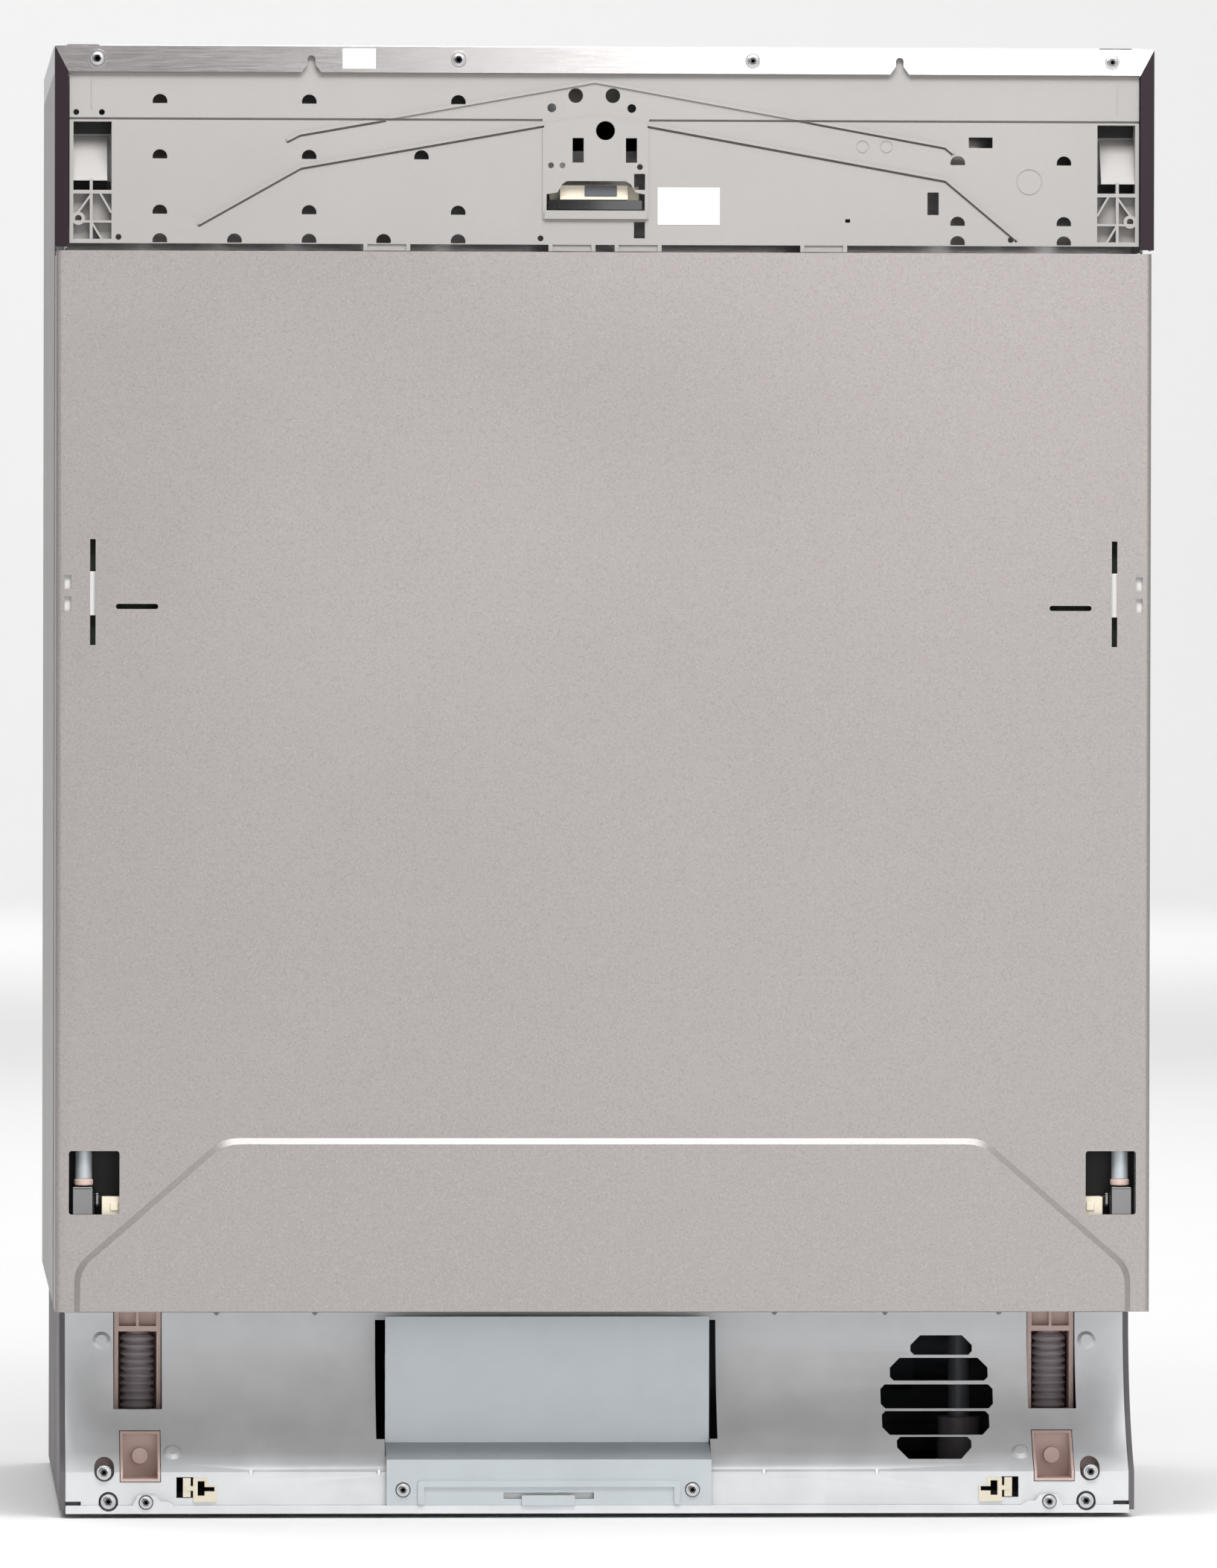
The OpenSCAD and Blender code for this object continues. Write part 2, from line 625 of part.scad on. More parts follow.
module fascia_carrier() color([0.75, 0.74, 0.72]) {
    difference() {
        union() {
            facing(carrier_y, 3) rect(-carrier_half_w, carrier_half_w, carrier_bottom, trim_top - 1.3);
            facing(carrier_y - 1, 1.1) chain(upper_rib, 1.5);
            for (rib = [lower_rib_left, lower_rib_right]) facing(carrier_y - 1.2, 1.3) chain(rib, 1.3);
            facing(carrier_y - 0.7, 0.8) polygon([
                [-34.2, 709], [23.6, 709], [23.6, 760.5], [-5.6, 765.3], [-34.2, 760.5]
            ]);
            facing(carrier_y - 2, 2.1) rect(-33.2, 22.6, 709, 713.4);
            both_sides() {
                block([266.8, carrier_y + 0.1, 696], [290.3, carrier_y + 17.5, 762.4]);
                facing(carrier_y - 0.3, 0.4) rect(278.7, 279.3, 768, 783);
            }
            for (x = [-131.5, -30.8, 5.2, 106.3]) {
                facing(carrier_y + 1, 1.6) rect(x + 1, x + 24.5, carrier_bottom - 3.5, carrier_bottom + 1);
                for (post = [x, x + 23.3])
                    facing(carrier_y, 2.8) rect(post, post + 2.2, carrier_bottom - 3.6, carrier_bottom + 1);
            }
        }
        facing(carrier_y - 3, 9) fascia_openings();
        both_sides() corner_well_cuts();
        for (x = [[-carrier_half_w - 1, -34.3], [23.7, carrier_half_w + 1]])
            block([x[0], carrier_y - 1, groove_z - 0.6], [x[1], carrier_y + 1.5, groove_z + 0.6]);
        facing(carrier_y - 3, 4.8) {
            chain([[-172.5, 750.2], [-166, 753.5], [-120, 761.6]], 1.1);
            chain([[106, 762.3], [184.9, 747.9], [188.6, 744.9]], 1.1);
            chain([for (p = lower_rib_left) p - [0, 1.3]], 1.1);
            chain([for (p = lower_rib_right) p - [0, 1.4]], 1.1);
        }
        facing(carrier_y - 1, 1.3) {
            translate([231, 729.6]) difference() { circle(7.2); circle(6.4); }
            for (x = [140, 153]) translate([x, 748.5]) difference() { circle(3.6); circle(2.8); }
        }
        for (x = trim_screw_x) rod_y(x, carrier_y - 1, carrier_y + 4, trim_bottom + 7, 2.3);
    }
    both_sides() corner_well_ribs();
}

// A corner cut at 45 degrees between the top trim and a side trim
module mitre_side(s) polygon([
    [s * (half_w + 1), trim_top + 1], [s * (half_w + 1), trim_top],
    [s * half_w, trim_top], [s * (half_w - side_trim_w), trim_bottom],
    [s * (half_w - side_trim_w), trim_bottom - 1], [s * (half_w + 1), trim_bottom - 1]
]);

trim_screw_x = [-276, -80, 80, 276];

module door_top_trim() color([0.82, 0.82, 0.81]) difference() {
    union() {
        facing(face_y - 1, 1.5) difference() {
            rect(-half_w, half_w, trim_bottom, trim_top);
            for (s = [-1, 1]) mitre_side(s);
        }
        across(-half_w + side_trim_w, half_w - side_trim_w)
            rect(face_y - 0.5, face_y + 8, trim_top - 1.2, trim_top);
        for (x = trim_screw_x) rod_y(x, face_y - 1.4, face_y - 0.5, trim_bottom + 7, 5);
    }
    for (x = [-160, 160]) facing(face_y - 2, 4) {
        rect(x - 2.1, x + 2.1, trim_bottom - 1, trim_bottom + 7);
        translate([x, trim_bottom + 7]) circle(2.1);
        polygon([
            [x - 5.4, trim_bottom - 1], [x + 5.4, trim_bottom - 1], [x + 4.8, trim_bottom + 0.6],
            [x + 2.1, trim_bottom + 4.2], [x - 2.1, trim_bottom + 4.2], [x - 4.8, trim_bottom + 0.6]
        ]);
    }
    for (x = trim_screw_x) {
        rod_y(x, face_y - 2, face_y - 1, trim_bottom + 7, 4);
        rod_y(x, face_y - 2, face_y + 2, trim_bottom + 7, 2.2);
    }
}

module door_side_trims() color([0.25, 0.21, 0.24]) both_sides() {
    inner = half_w - side_trim_w;
    low = sheet_top + 2;
    facing(face_y - 1, 1.5) polygon([
        [inner + 0.02, low], [half_w, low], [half_w, trim_top - 0.1], [inner + 0.02, trim_bottom - 0.1]
    ]);
    block([half_w - 1.2, face_y + 0.4, low], [half_w, face_y + 20, trim_top - 1.5]);
}

module trim_screws() color([0.70, 0.70, 0.70]) for (x = trim_screw_x) {
    screw(x, trim_bottom + 7, face_y - 1, 3.8);
    rod_y(x, face_y - 1, face_y + 6, trim_bottom + 7, 2.1);
}

button_x = [-250, 90, 130, 250];
button_y = face_y + 27;
panel_top = trim_top - 1.5;

module button_outline(x, grow)
    rounded_rect(x - 11 - grow, x + 11 + grow, button_y - 6 - grow, button_y + 6 + grow, 3);

module control_panel() color([0.12, 0.12, 0.13]) difference() {
    block([-290.5, face_y + 8.2, trim_bottom + 0.1], [290.5, liner_y - 0.5, panel_top]);
    block([-288, face_y + 10.7, trim_bottom], [288, liner_y - 3, panel_top - 2.5]);
    for (x = button_x) upright(panel_top - 5, panel_top + 1) button_outline(x, 0.4);
    block([-61, button_y - 12, panel_top - 1], [31, button_y + 12, panel_top + 1]);
}

module display_window() color([0.03, 0.03, 0.04])
    block([-60.9, button_y - 11.9, panel_top - 1], [30.9, button_y + 11.9, panel_top + 0.2]);

module button(i) color([0.65, 0.66, 0.67]) {
    x = button_x[i];
    upright(panel_top - 4, panel_top + 1) button_outline(x, 0);
    block([x - 12.5, button_y - 3, panel_top - 5], [x + 12.5, button_y + 3, panel_top - 3.5]);
}

module power_button() button(0);
module program_button() button(1);
module option_button() button(2);
module start_button() button(3);

module door_insulation() color([0.20, 0.22, 0.18]) difference() {
    union() {
        block([-266, face_y + 8, 215], [266, liner_y - 8, 345]);
        block([-286, face_y + 8, 345], [286, liner_y - 8, sheet_top - 3]);
    }
    block([20, liner_y - 40, 425], [220, liner_y, 605]);
}

module hinge_arms() color([0.60, 0.62, 0.65]) both_sides() difference() {
    union() {
        rod_x(276, 283, hinge_y, hinge_z, 12);
        block([276, hinge_y - 12, hinge_z], [283, hinge_y + 12, 335]);
    }
    rod_x(270, 290, hinge_y, hinge_z, hinge_pin_r + 0.05);
    for (z = [230, 300]) rod_x(270, 290, hinge_y, z, 3);
}

module dispenser_body() color([0.30, 0.32, 0.34]) difference() {
    union() {
        block([33, liner_y - 38, 443], [207, liner_y + 0.01, 587]);
        block([26, liner_y + 0.01, 436], [214, liner_y + 2.5, 594]);
    }
    block([46, liner_y - 34, 462], [116, liner_y + 4, 566]);
    rod_y(170, liner_y - 20, liner_y + 4, 540, 15);
}

module detergent_flap() color([0.25, 0.27, 0.30]) {
    block([42, liner_y + 2.9, 458], [120, liner_y + 5.5, 570]);
    block([74, liner_y + 5.4, 462], [88, liner_y + 8, 476]);
}

module rinse_aid_cap() color([0.20, 0.35, 0.60]) {
    rod_y(170, liner_y - 16, liner_y + 6, 540, 14);
    block([158, liner_y + 5.9, 538], [182, liner_y + 8, 542]);
}

module door_latch() color([0.86, 0.82, 0.70]) {
    block([-30, carrier_y + 12, 715], [19, carrier_y + 26, 727]);
    block([-24.5, carrier_y + 5, 719.6], [12.6, carrier_y + 12.5, 727.5]);
    block([-24.5, carrier_y + 4, 719.6], [12.6, carrier_y + 5.5, 721.2]);
}

module control_board() color([0.10, 0.35, 0.20]) difference() {
    block([-270, button_y - 14, 784], [270, button_y + 14, 785.6]);
    for (x = [-264, 264], y = [-10, 10]) rod_z(x, button_y + y, 783, 787, 1.6);
}

module blank_labels() color([0.93, 0.93, 0.92]) {
    facing(carrier_y - 0.2, 0.2) rect(28.5, 62.3, 706, 726.3);
    facing(face_y - 1.2, 0.2) rect(-143, -125, trim_bottom + 2, trim_top - 1);
}

// Pieces that turn in the tub

module salt_cap() color([0.75, 0.76, 0.77]) {
    rod_z(salt_x, salt_y, tub_floor_z + 2.3, tub_floor_z + 8, 32);
    rod_z(salt_x, salt_y, 135, tub_floor_z + 3, 26.5);
    block([salt_x - 24, salt_y - 3, tub_floor_z + 7], [salt_x + 24, salt_y + 3, tub_floor_z + 11]);
}

module filter_cylinder() color([0.70, 0.72, 0.74]) {
    difference() {
        union() {
            rod_z(filter_x, spray_y, 70, tub_floor_z + 4, 38);
            rod_z(filter_x, spray_y, tub_floor_z - 1, tub_floor_z + 2, 54.5);
        }
        rod_z(filter_x, spray_y, 74, tub_floor_z + 5, 35);
    }
    block([filter_x - 36, spray_y - 3, tub_floor_z - 12], [filter_x + 36, spray_y + 3, tub_floor_z + 8]);
}

// A two-bladed spray arm that turns on a hollow post
module spray_arm(cx, z, reach, post_r) difference() {
    union() {
        upright(z, z + 10) {
            translate([cx - reach + 17, spray_y - 17]) square([2 * reach - 34, 34]);
            for (s = [-1, 1]) translate([cx + s * (reach - 17), spray_y]) circle(17);
        }
        rod_z(cx, spray_y, z - 2, z + 12, 24);
    }
    rod_z(cx, spray_y, z - 3, z + 13, post_r);
    for (s = [-1, 1], d = [60:30:reach - 20]) rod_z(cx + s * d, spray_y + s * 6, z + 7, z + 11, 2);
}

module spray_arm_lower() color([0.32, 0.34, 0.37]) spray_arm(lower_arm_x, 163, 212, 10.06);
module spray_arm_upper() color([0.32, 0.34, 0.37]) spray_arm(0, upper_rack_z - 20, 205, 8.06);
module spray_arm_top() color([0.32, 0.34, 0.37]) spray_arm(0, 758.5, 190, 8.06);

// Racks: crossing layers of bars, with a rim and upright bars around

module long_bars(x0, x1, step, y0, y1, z)
    for (x = [x0:step:x1]) block([x - bar / 2, y0, z], [x + bar / 2, y1, z + bar]);

module cross_bars(y0, y1, step, x0, x1, z)
    for (y = [y0:step:y1]) block([x0, y - bar / 2, z], [x1, y + bar / 2, z + bar]);

// A basket of five flat mats of bars: the bottom, the front, the rear and both sides
module basket(half, z0, z1, step) {
    side_z = z0 + 2 * bar + mat_gap;
    y_step = (rack_rear_y - rack_front_y - bar) / 6;
    rails = [side_z, (side_z + z1) / 2, z1 - bar];
    long_bars(-half + step, half - step, step, rack_front_y, rack_rear_y, z0);
    reach = half - bar - mat_gap;
    cross_bars(rack_front_y + bar / 2, rack_rear_y - bar / 2, y_step, -reach, reach, z0 + bar);
    for (y = [rack_front_y, rack_rear_y - bar]) {
        for (z = rails) block([-half, y, z], [half, y + bar, z + bar]);
        for (x = [-half + step:step:half - step]) block([x - bar / 2, y, side_z], [x + bar / 2, y + bar, z1]);
    }
    both_sides() {
        for (z = rails)
            block([half - bar, rack_front_y + bar + mat_gap, z], [half, rack_rear_y - bar - mat_gap, z + bar]);
        for (i = [1:5]) {
            y = rack_front_y + i * y_step;
            block([half - bar, y, side_z], [half, y + bar, z1]);
        }
    }
}

// A row of upright bars on a foot rail
module tine_row(x, z0, z1, step) {
    block([x - bar / 2, -152, z0], [x + bar / 2, 167, z0 + bar]);
    for (y = [-150:step:165]) block([x - bar / 2, y - bar / 2, z0], [x + bar / 2, y + bar / 2, z1]);
}

tine_x = 90;
tine_z = lower_rack_z + 16;

module lower_rack() color([0.55, 0.57, 0.60]) {
    floor_z = lower_rack_z + 2 * bar + mat_gap;
    basket(240, lower_rack_z, 398, 60);
    for (x = [-180, -60]) tine_row(x, floor_z, lower_rack_z + 75, 45);
    for (y = [-150, 165]) difference() {
        block([tine_x - 6, y - 3, floor_z], [tine_x + 6, y + 3, tine_z + 6]);
        rod_y(tine_x, y - 4, y + 4, tine_z, 2.56);
    }
    both_sides() for (y = [-120, 150]) block([236, y - 16, 160], [240, y + 16, lower_rack_z + 24]);
}

module rack_wheels() color([0.35, 0.36, 0.38]) both_sides() for (y = [-120, 150]) {
    rod_x(243, 254, y, tub_floor_z + 17.5, 14);
    rod_x(240, 244, y, tub_floor_z + 17.5, 5);
}

module folding_tines() color([0.55, 0.57, 0.60]) {
    rod_y(tine_x, -155, 170, tine_z, 2.5);
    for (y = [-130:40:150]) block([tine_x - 2, y - 2, tine_z], [tine_x + 2, y + 2, tine_z + 70]);
}

module upper_rack() color([0.55, 0.57, 0.60]) {
    basket(246, upper_rack_z, 640, 61.5);
    for (x = [-123, 123]) tine_row(x, upper_rack_z + 2 * bar + mat_gap, upper_rack_z + 55, 50);
    both_sides() {
        block([246 + mat_gap, -150, 574], [256.5, 170, 582]);
        block([256, -150, 575.5], [264, 170, 580.5]);
    }
    difference() {
        rod_z(0, spray_y, upper_rack_z - 26, upper_rack_z - mat_gap, 8);
        rod_z(0, spray_y, upper_rack_z - 27, upper_rack_z - 2, 5);
    }
}

module cutlery_tray() color([0.60, 0.62, 0.65]) {
    difference() {
        block([-248, rack_front_y, tray_z], [248, rack_rear_y, tray_z + 36]);
        block([-244, rack_front_y + 4, tray_z + 3], [244, rack_rear_y - 4, tray_z + 40]);
        for (x = [-220:55:220], y = [-180:60:180])
            block([x - 18, y - 22, tray_z - 1], [x + 18, y + 22, tray_z + 4]);
    }
    for (x = [-100, 100])
        block([x - 1.5, rack_front_y + 3, tray_z + 2], [x + 1.5, rack_rear_y - 3, tray_z + 28]);
    both_sides() block([247, -170, tray_z + 19.5], [264, 170, tray_z + 24.5]);
}

// Levelling feet on threaded spindles
module foot(x, y) color([0.15, 0.15, 0.16]) {
    rod_z(x, y, 0, 5, 18);
    rod_z(x, y, 4, 52 + foot_travel, 6);
}

module foot_front_left() foot(-foot_x, foot_y);
module foot_front_right() foot(foot_x, foot_y);
module foot_rear() foot(0, rear_foot_y);

side_panel_left();
side_panel_right();
rear_panel();
top_frame();
top_seal_strip();
base_tray();
base_front_sheet();
base_center_plate();
base_lower_rail();
base_screws();
spring_guides();
door_springs();
base_clips();
tub_wrap();
tub_rear_wall();
tub_floor();
tub_front_frame();
door_seal();
sump();
circulation_pump();
drain_pump();
water_softener();
power_module();
inlet_connector();
drain_connector();
hinge_brackets();
rack_rails();
outer_door_panel();
inner_door_panel();
fascia_carrier();
door_top_trim();
door_side_trims();
trim_screws();
control_panel();
display_window();
door_insulation();
hinge_arms();
dispenser_body();
door_latch();
control_board();
blank_labels();
power_button();
program_button();
option_button();
start_button();
detergent_flap();
rinse_aid_cap();
salt_cap();
filter_cylinder();
spray_arm_lower();
spray_arm_upper();
spray_arm_top();
lower_rack();
rack_wheels();
folding_tines();
upper_rack();
cutlery_tray();
foot_front_left();
foot_front_right();
foot_rear();
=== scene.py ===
"""Looks of the fully integrated dishwasher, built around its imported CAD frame."""

import json
import math

import bmesh
import bpy
from mathutils import Matrix, Vector


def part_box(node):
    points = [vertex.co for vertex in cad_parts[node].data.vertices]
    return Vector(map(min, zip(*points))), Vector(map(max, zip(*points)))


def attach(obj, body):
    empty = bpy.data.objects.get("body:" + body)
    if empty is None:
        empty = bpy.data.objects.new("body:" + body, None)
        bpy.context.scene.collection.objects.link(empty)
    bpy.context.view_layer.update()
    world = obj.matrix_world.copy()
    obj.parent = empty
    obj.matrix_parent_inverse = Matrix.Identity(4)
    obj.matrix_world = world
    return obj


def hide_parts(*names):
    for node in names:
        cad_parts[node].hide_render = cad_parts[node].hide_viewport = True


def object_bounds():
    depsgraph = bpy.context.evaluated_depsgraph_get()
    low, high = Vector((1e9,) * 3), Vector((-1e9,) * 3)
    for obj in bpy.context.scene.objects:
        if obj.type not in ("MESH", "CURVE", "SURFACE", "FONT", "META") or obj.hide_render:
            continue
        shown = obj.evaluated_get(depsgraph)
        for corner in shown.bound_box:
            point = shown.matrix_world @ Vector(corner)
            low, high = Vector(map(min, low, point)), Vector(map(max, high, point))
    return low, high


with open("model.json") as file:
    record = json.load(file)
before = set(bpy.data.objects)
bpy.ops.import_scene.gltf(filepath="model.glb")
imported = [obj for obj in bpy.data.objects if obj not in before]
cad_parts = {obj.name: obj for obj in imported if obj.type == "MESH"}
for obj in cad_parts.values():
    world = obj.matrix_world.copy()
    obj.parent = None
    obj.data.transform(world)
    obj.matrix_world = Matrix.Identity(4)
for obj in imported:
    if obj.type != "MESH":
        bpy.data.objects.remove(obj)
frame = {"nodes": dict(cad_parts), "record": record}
CAD_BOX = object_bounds()
NODES = frame["nodes"]
MM = 0.001
FRONT = CAD_BOX[0][1]
scene = bpy.context.scene
scene.view_settings.view_transform = "Standard"


# Camera: a long lens in front of the door, a little to its left, just above half height

CAMERA_PLACE = (-0.3925, -7.7747, 0.4885)
CAMERA_TURN = (89.34, -0.12, -3.015)
CAMERA_LENS = 317.0
CAMERA_SENSOR = 36.0
FARTHEST_SEEN = 50.0


def add_camera():
    data = bpy.data.cameras.new("camera")
    data.lens = CAMERA_LENS
    data.sensor_width = CAMERA_SENSOR
    data.clip_end = FARTHEST_SEEN
    camera = bpy.data.objects.new("camera", data)
    scene.collection.objects.link(camera)
    camera.location = CAMERA_PLACE
    camera.rotation_euler = [math.radians(a) for a in CAMERA_TURN]
    scene.camera = camera


# Materials

ALONG_X = (1.0, 30.0, 30.0)
ALONG_Z = (30.0, 30.0, 1.0)
MIX_FACTOR, MIX_FIRST, MIX_SECOND, MIX_RESULT = 0, 6, 7, 2
FLECK_TONE = 1.5
PIT_TONE = 0.62
STREAK_SCALE = 60.0
STREAK_TONE = 0.8
STREAK_SWING = 0.06
ROUGHNESS_SWING = 0.05
LEAST_ROUGHNESS = 0.02
DUST_SCALE = 26.0
DUST_COLOUR = (0.32, 0.30, 0.28)
RELIEF_DEPTH = 0.4 * MM


def tree_of(material):
    return material.node_tree.nodes, material.node_tree.links


def noise(material, scale, detail=2.0, stretch=(1, 1, 1), rough=0.5):
    """A noise texture in the row frame, in features per metre, stretched along an axis if asked."""
    nodes, links = tree_of(material)
    coords = nodes.new("ShaderNodeTexCoord")
    mapping = nodes.new("ShaderNodeMapping")
    mapping.inputs["Scale"].default_value = stretch
    texture = nodes.new("ShaderNodeTexNoise")
    texture.inputs["Scale"].default_value = scale
    texture.inputs["Detail"].default_value = detail
    texture.inputs["Roughness"].default_value = rough
    links.new(coords.outputs["Object"], mapping.inputs["Vector"])
    links.new(mapping.outputs["Vector"], texture.inputs["Vector"])
    return texture.outputs["Fac"]


def remap(material, value, low, high, start=0.3, end=0.7):
    """Spreads a value between start and end over the range from low to high."""
    nodes, links = tree_of(material)
    node = nodes.new("ShaderNodeMapRange")
    node.inputs["From Min"].default_value = start
    node.inputs["From Max"].default_value = end
    node.inputs["To Min"].default_value = low
    node.inputs["To Max"].default_value = high
    links.new(value, node.inputs["Value"])
    return node.outputs["Result"]


def mix_colour(material, factor, first, second):
    """Mixes two colours. Each of the three is a number, a colour or another node's output."""
    nodes, links = tree_of(material)
    node = nodes.new("ShaderNodeMix")
    node.data_type = "RGBA"
    for index, value in ((MIX_FACTOR, factor), (MIX_FIRST, first), (MIX_SECOND, second)):
        socket = node.inputs[index]
        if isinstance(value, bpy.types.NodeSocket):
            links.new(value, socket)
        elif isinstance(value, (int, float)):
            socket.default_value = value
        else:
            socket.default_value = (*value, 1.0)
    return node.outputs[MIX_RESULT]


def scaled(colour, factor):
    return tuple(min(1.0, c * factor) for c in colour)


def surface(name, colour, roughness, metallic=0.0, contrast=0.06, grain=900.0, bump=0.10, mottle=9.0,
            brushed=None, coat=0.0, coat_roughness=0.1, dust=0.0, specular=0.5, flecks=0.0):
    """A surface whose colour, roughness and relief all vary. Mottle is broad and grain is fine, both in
    features per metre. Brushed gives streaks, flecks give light and dark grains, dust gives dull patches."""
    material = bpy.data.materials.new(name)
    material.use_nodes = True
    nodes, links = tree_of(material)
    shader = nodes["Principled BSDF"]
    shader.inputs["Metallic"].default_value = metallic
    shader.inputs["Coat Weight"].default_value = coat
    shader.inputs["Coat Roughness"].default_value = coat_roughness
    shader.inputs["Specular IOR Level"].default_value = specular
    broad = noise(material, mottle, detail=3.0)
    fine = noise(material, grain, detail=1.0)
    darker = scaled(colour, 1 - contrast)
    lighter = scaled(colour, 1 + contrast)
    tone = mix_colour(material, remap(material, broad, 0.0, 1.0), darker, lighter)
    if flecks:
        fleck = remap(material, fine, 0.0, flecks, 0.52, 0.72)
        tone = mix_colour(material, fleck, tone, scaled(colour, FLECK_TONE))
        pit = remap(material, noise(material, grain * 0.8, detail=1.0), flecks, 0.0, 0.30, 0.48)
        tone = mix_colour(material, pit, tone, scaled(colour, PIT_TONE))
    relief = fine
    smoothest = max(LEAST_ROUGHNESS, roughness - ROUGHNESS_SWING)
    level = remap(material, broad, smoothest, min(1.0, roughness + ROUGHNESS_SWING))
    if brushed:
        streaks = noise(material, STREAK_SCALE, detail=5.0, stretch=brushed, rough=0.7)
        tone = mix_colour(material, remap(material, streaks, 0.0, 0.5), tone, scaled(colour, STREAK_TONE))
        smoothest = max(LEAST_ROUGHNESS, roughness - STREAK_SWING)
        level = remap(material, streaks, smoothest, roughness + STREAK_SWING)
        relief = streaks
    if dust:
        soil = remap(material, noise(material, DUST_SCALE, detail=6.0, rough=0.65), 0.0, dust, 0.55, 0.75)
        tone = mix_colour(material, soil, tone, DUST_COLOUR)
    links.new(tone, shader.inputs["Base Color"])
    links.new(level, shader.inputs["Roughness"])
    relief_node = nodes.new("ShaderNodeBump")
    relief_node.inputs["Strength"].default_value = bump
    relief_node.inputs["Distance"].default_value = RELIEF_DEPTH
    links.new(relief, relief_node.inputs["Height"])
    links.new(relief_node.outputs["Normal"], shader.inputs["Normal"])
    return material


def make_surfaces():
    """One surface for each material slot of the record, and one for the bright trim."""
    recipes = {
        "door_paint": dict(colour=(0.355, 0.328, 0.320), roughness=0.40, metallic=0.55, grain=1100,
                           bump=0.06, contrast=0.03, mottle=4, flecks=0.28, coat=0.15, coat_roughness=0.35),
        "carrier_plastic": dict(colour=(0.312, 0.300, 0.290), roughness=0.48, grain=1500, bump=0.12,
                                contrast=0.03),
        "brushed_steel": dict(colour=(0.66, 0.655, 0.65), roughness=0.31, metallic=1.0, brushed=ALONG_X,
                              bump=0.05),
        "trim_steel": dict(colour=(0.80, 0.775, 0.77), roughness=0.16, metallic=1.0, brushed=ALONG_X,
                           bump=0.05),
        # Near-black colour of the brushed side trims: painted dark reflection
        "dark_trim": dict(colour=(0.030, 0.021, 0.027), roughness=0.32, metallic=0.5, specular=0.25,
                          brushed=ALONG_Z, bump=0.03),
        "galvanised": dict(colour=(0.68, 0.695, 0.71), roughness=0.46, metallic=0.42, grain=500,
                           contrast=0.07, mottle=30, bump=0.06, dust=0.10),
        "plate_steel": dict(colour=(0.50, 0.545, 0.575), roughness=0.42, metallic=0.45, grain=500,
                            contrast=0.06, mottle=24, bump=0.06, dust=0.10),
        "panel_grey": dict(colour=(0.36, 0.355, 0.35), roughness=0.45, metallic=0.3, grain=900, bump=0.08,
                           dust=0.06),
        "base_plastic": dict(colour=(0.115, 0.106, 0.116), roughness=0.5, grain=900, bump=0.12, dust=0.10),
        "beige_plastic": dict(colour=(0.60, 0.45, 0.41), roughness=0.5, grain=900, bump=0.12),
        "cream_plastic": dict(colour=(0.72, 0.66, 0.53), roughness=0.45, grain=1100, bump=0.10),
        "dark_plastic": dict(colour=(0.085, 0.092, 0.105), roughness=0.45, grain=900, bump=0.15),
        "white_plastic": dict(colour=(0.74, 0.74, 0.71), roughness=0.45, grain=900, bump=0.10, dust=0.08),
        "panel_black": dict(colour=(0.018, 0.018, 0.021), roughness=0.32, grain=1500, bump=0.08),
        "button_silver": dict(colour=(0.45, 0.46, 0.47), roughness=0.3, metallic=0.7, brushed=ALONG_X,
                              bump=0.03),
        "display_black": dict(colour=(0.004, 0.004, 0.006), roughness=0.08, bump=0.01, coat=1.0,
                              coat_roughness=0.03),
        "rubber_black": dict(colour=(0.012, 0.012, 0.012), roughness=0.7, grain=700, bump=0.2),
        "spring_dark": dict(colour=(0.30, 0.27, 0.29), roughness=0.36, grain=700, bump=0.1),
        "screw_steel": dict(colour=(0.55, 0.55, 0.56), roughness=0.28, metallic=1.0, grain=1500, bump=0.06),
        "insulation": dict(colour=(0.045, 0.055, 0.038), roughness=0.95, grain=420, bump=0.9, contrast=0.3,
                           mottle=120),
        "board_green": dict(colour=(0.02, 0.13, 0.05), roughness=0.35, grain=400, bump=0.3, mottle=140,
                            contrast=0.3),
        "label_white": dict(colour=(0.68, 0.67, 0.66), roughness=0.4, grain=1200, bump=0.03, contrast=0.01),
        "cap_blue": dict(colour=(0.05, 0.15, 0.40), roughness=0.35, grain=900, bump=0.08),
        "filter_steel": dict(colour=(0.55, 0.56, 0.57), roughness=0.35, metallic=1.0, grain=1400, bump=0.5),
        "rack_coating": dict(colour=(0.27, 0.29, 0.32), roughness=0.38, grain=600, bump=0.12, contrast=0.08),
    }
    return {name: surface(name, **recipe) for name, recipe in recipes.items()}


MATERIALS = make_surfaces()


def slot_of(node):
    return next(s["material_slot"] for s in frame["record"]["subparts"] if s["node"] == node)


# Nodes with a surface of their own in place of their slot's
FINISH = {"door_top_trim": "trim_steel"}

# Widths of the rounded edges in millimetres, where they differ from the usual one
EDGE = {"outer_door_panel": 0.9, "fascia_carrier": 0.35, "door_top_trim": 0.35, "door_side_trims": 0.35,
        "control_panel": 0.8, "base_center_plate": 0.5, "base_front_sheet": 0.3, "cutlery_tray": 1.2,
        "side_panel_left": 0.3, "side_panel_right": 0.3, "top_frame": 0.6, "inner_door_panel": 0.5,
        "tub_wrap": 0.3, "tub_front_frame": 0.6, "detergent_flap": 1.5, "dispenser_body": 1.0,
        "spring_guides": 0.8, "base_clips": 0.5, "door_latch": 0.8, "water_softener": 3.0,
        "power_module": 1.5}
DEFAULT_EDGE = 0.4
SMOOTH_ANGLE = math.radians(28)
FLAT_ANGLE = math.radians(0.4)
WELD_REACH = 0.002 * MM
EDGE_SEGMENTS = 2


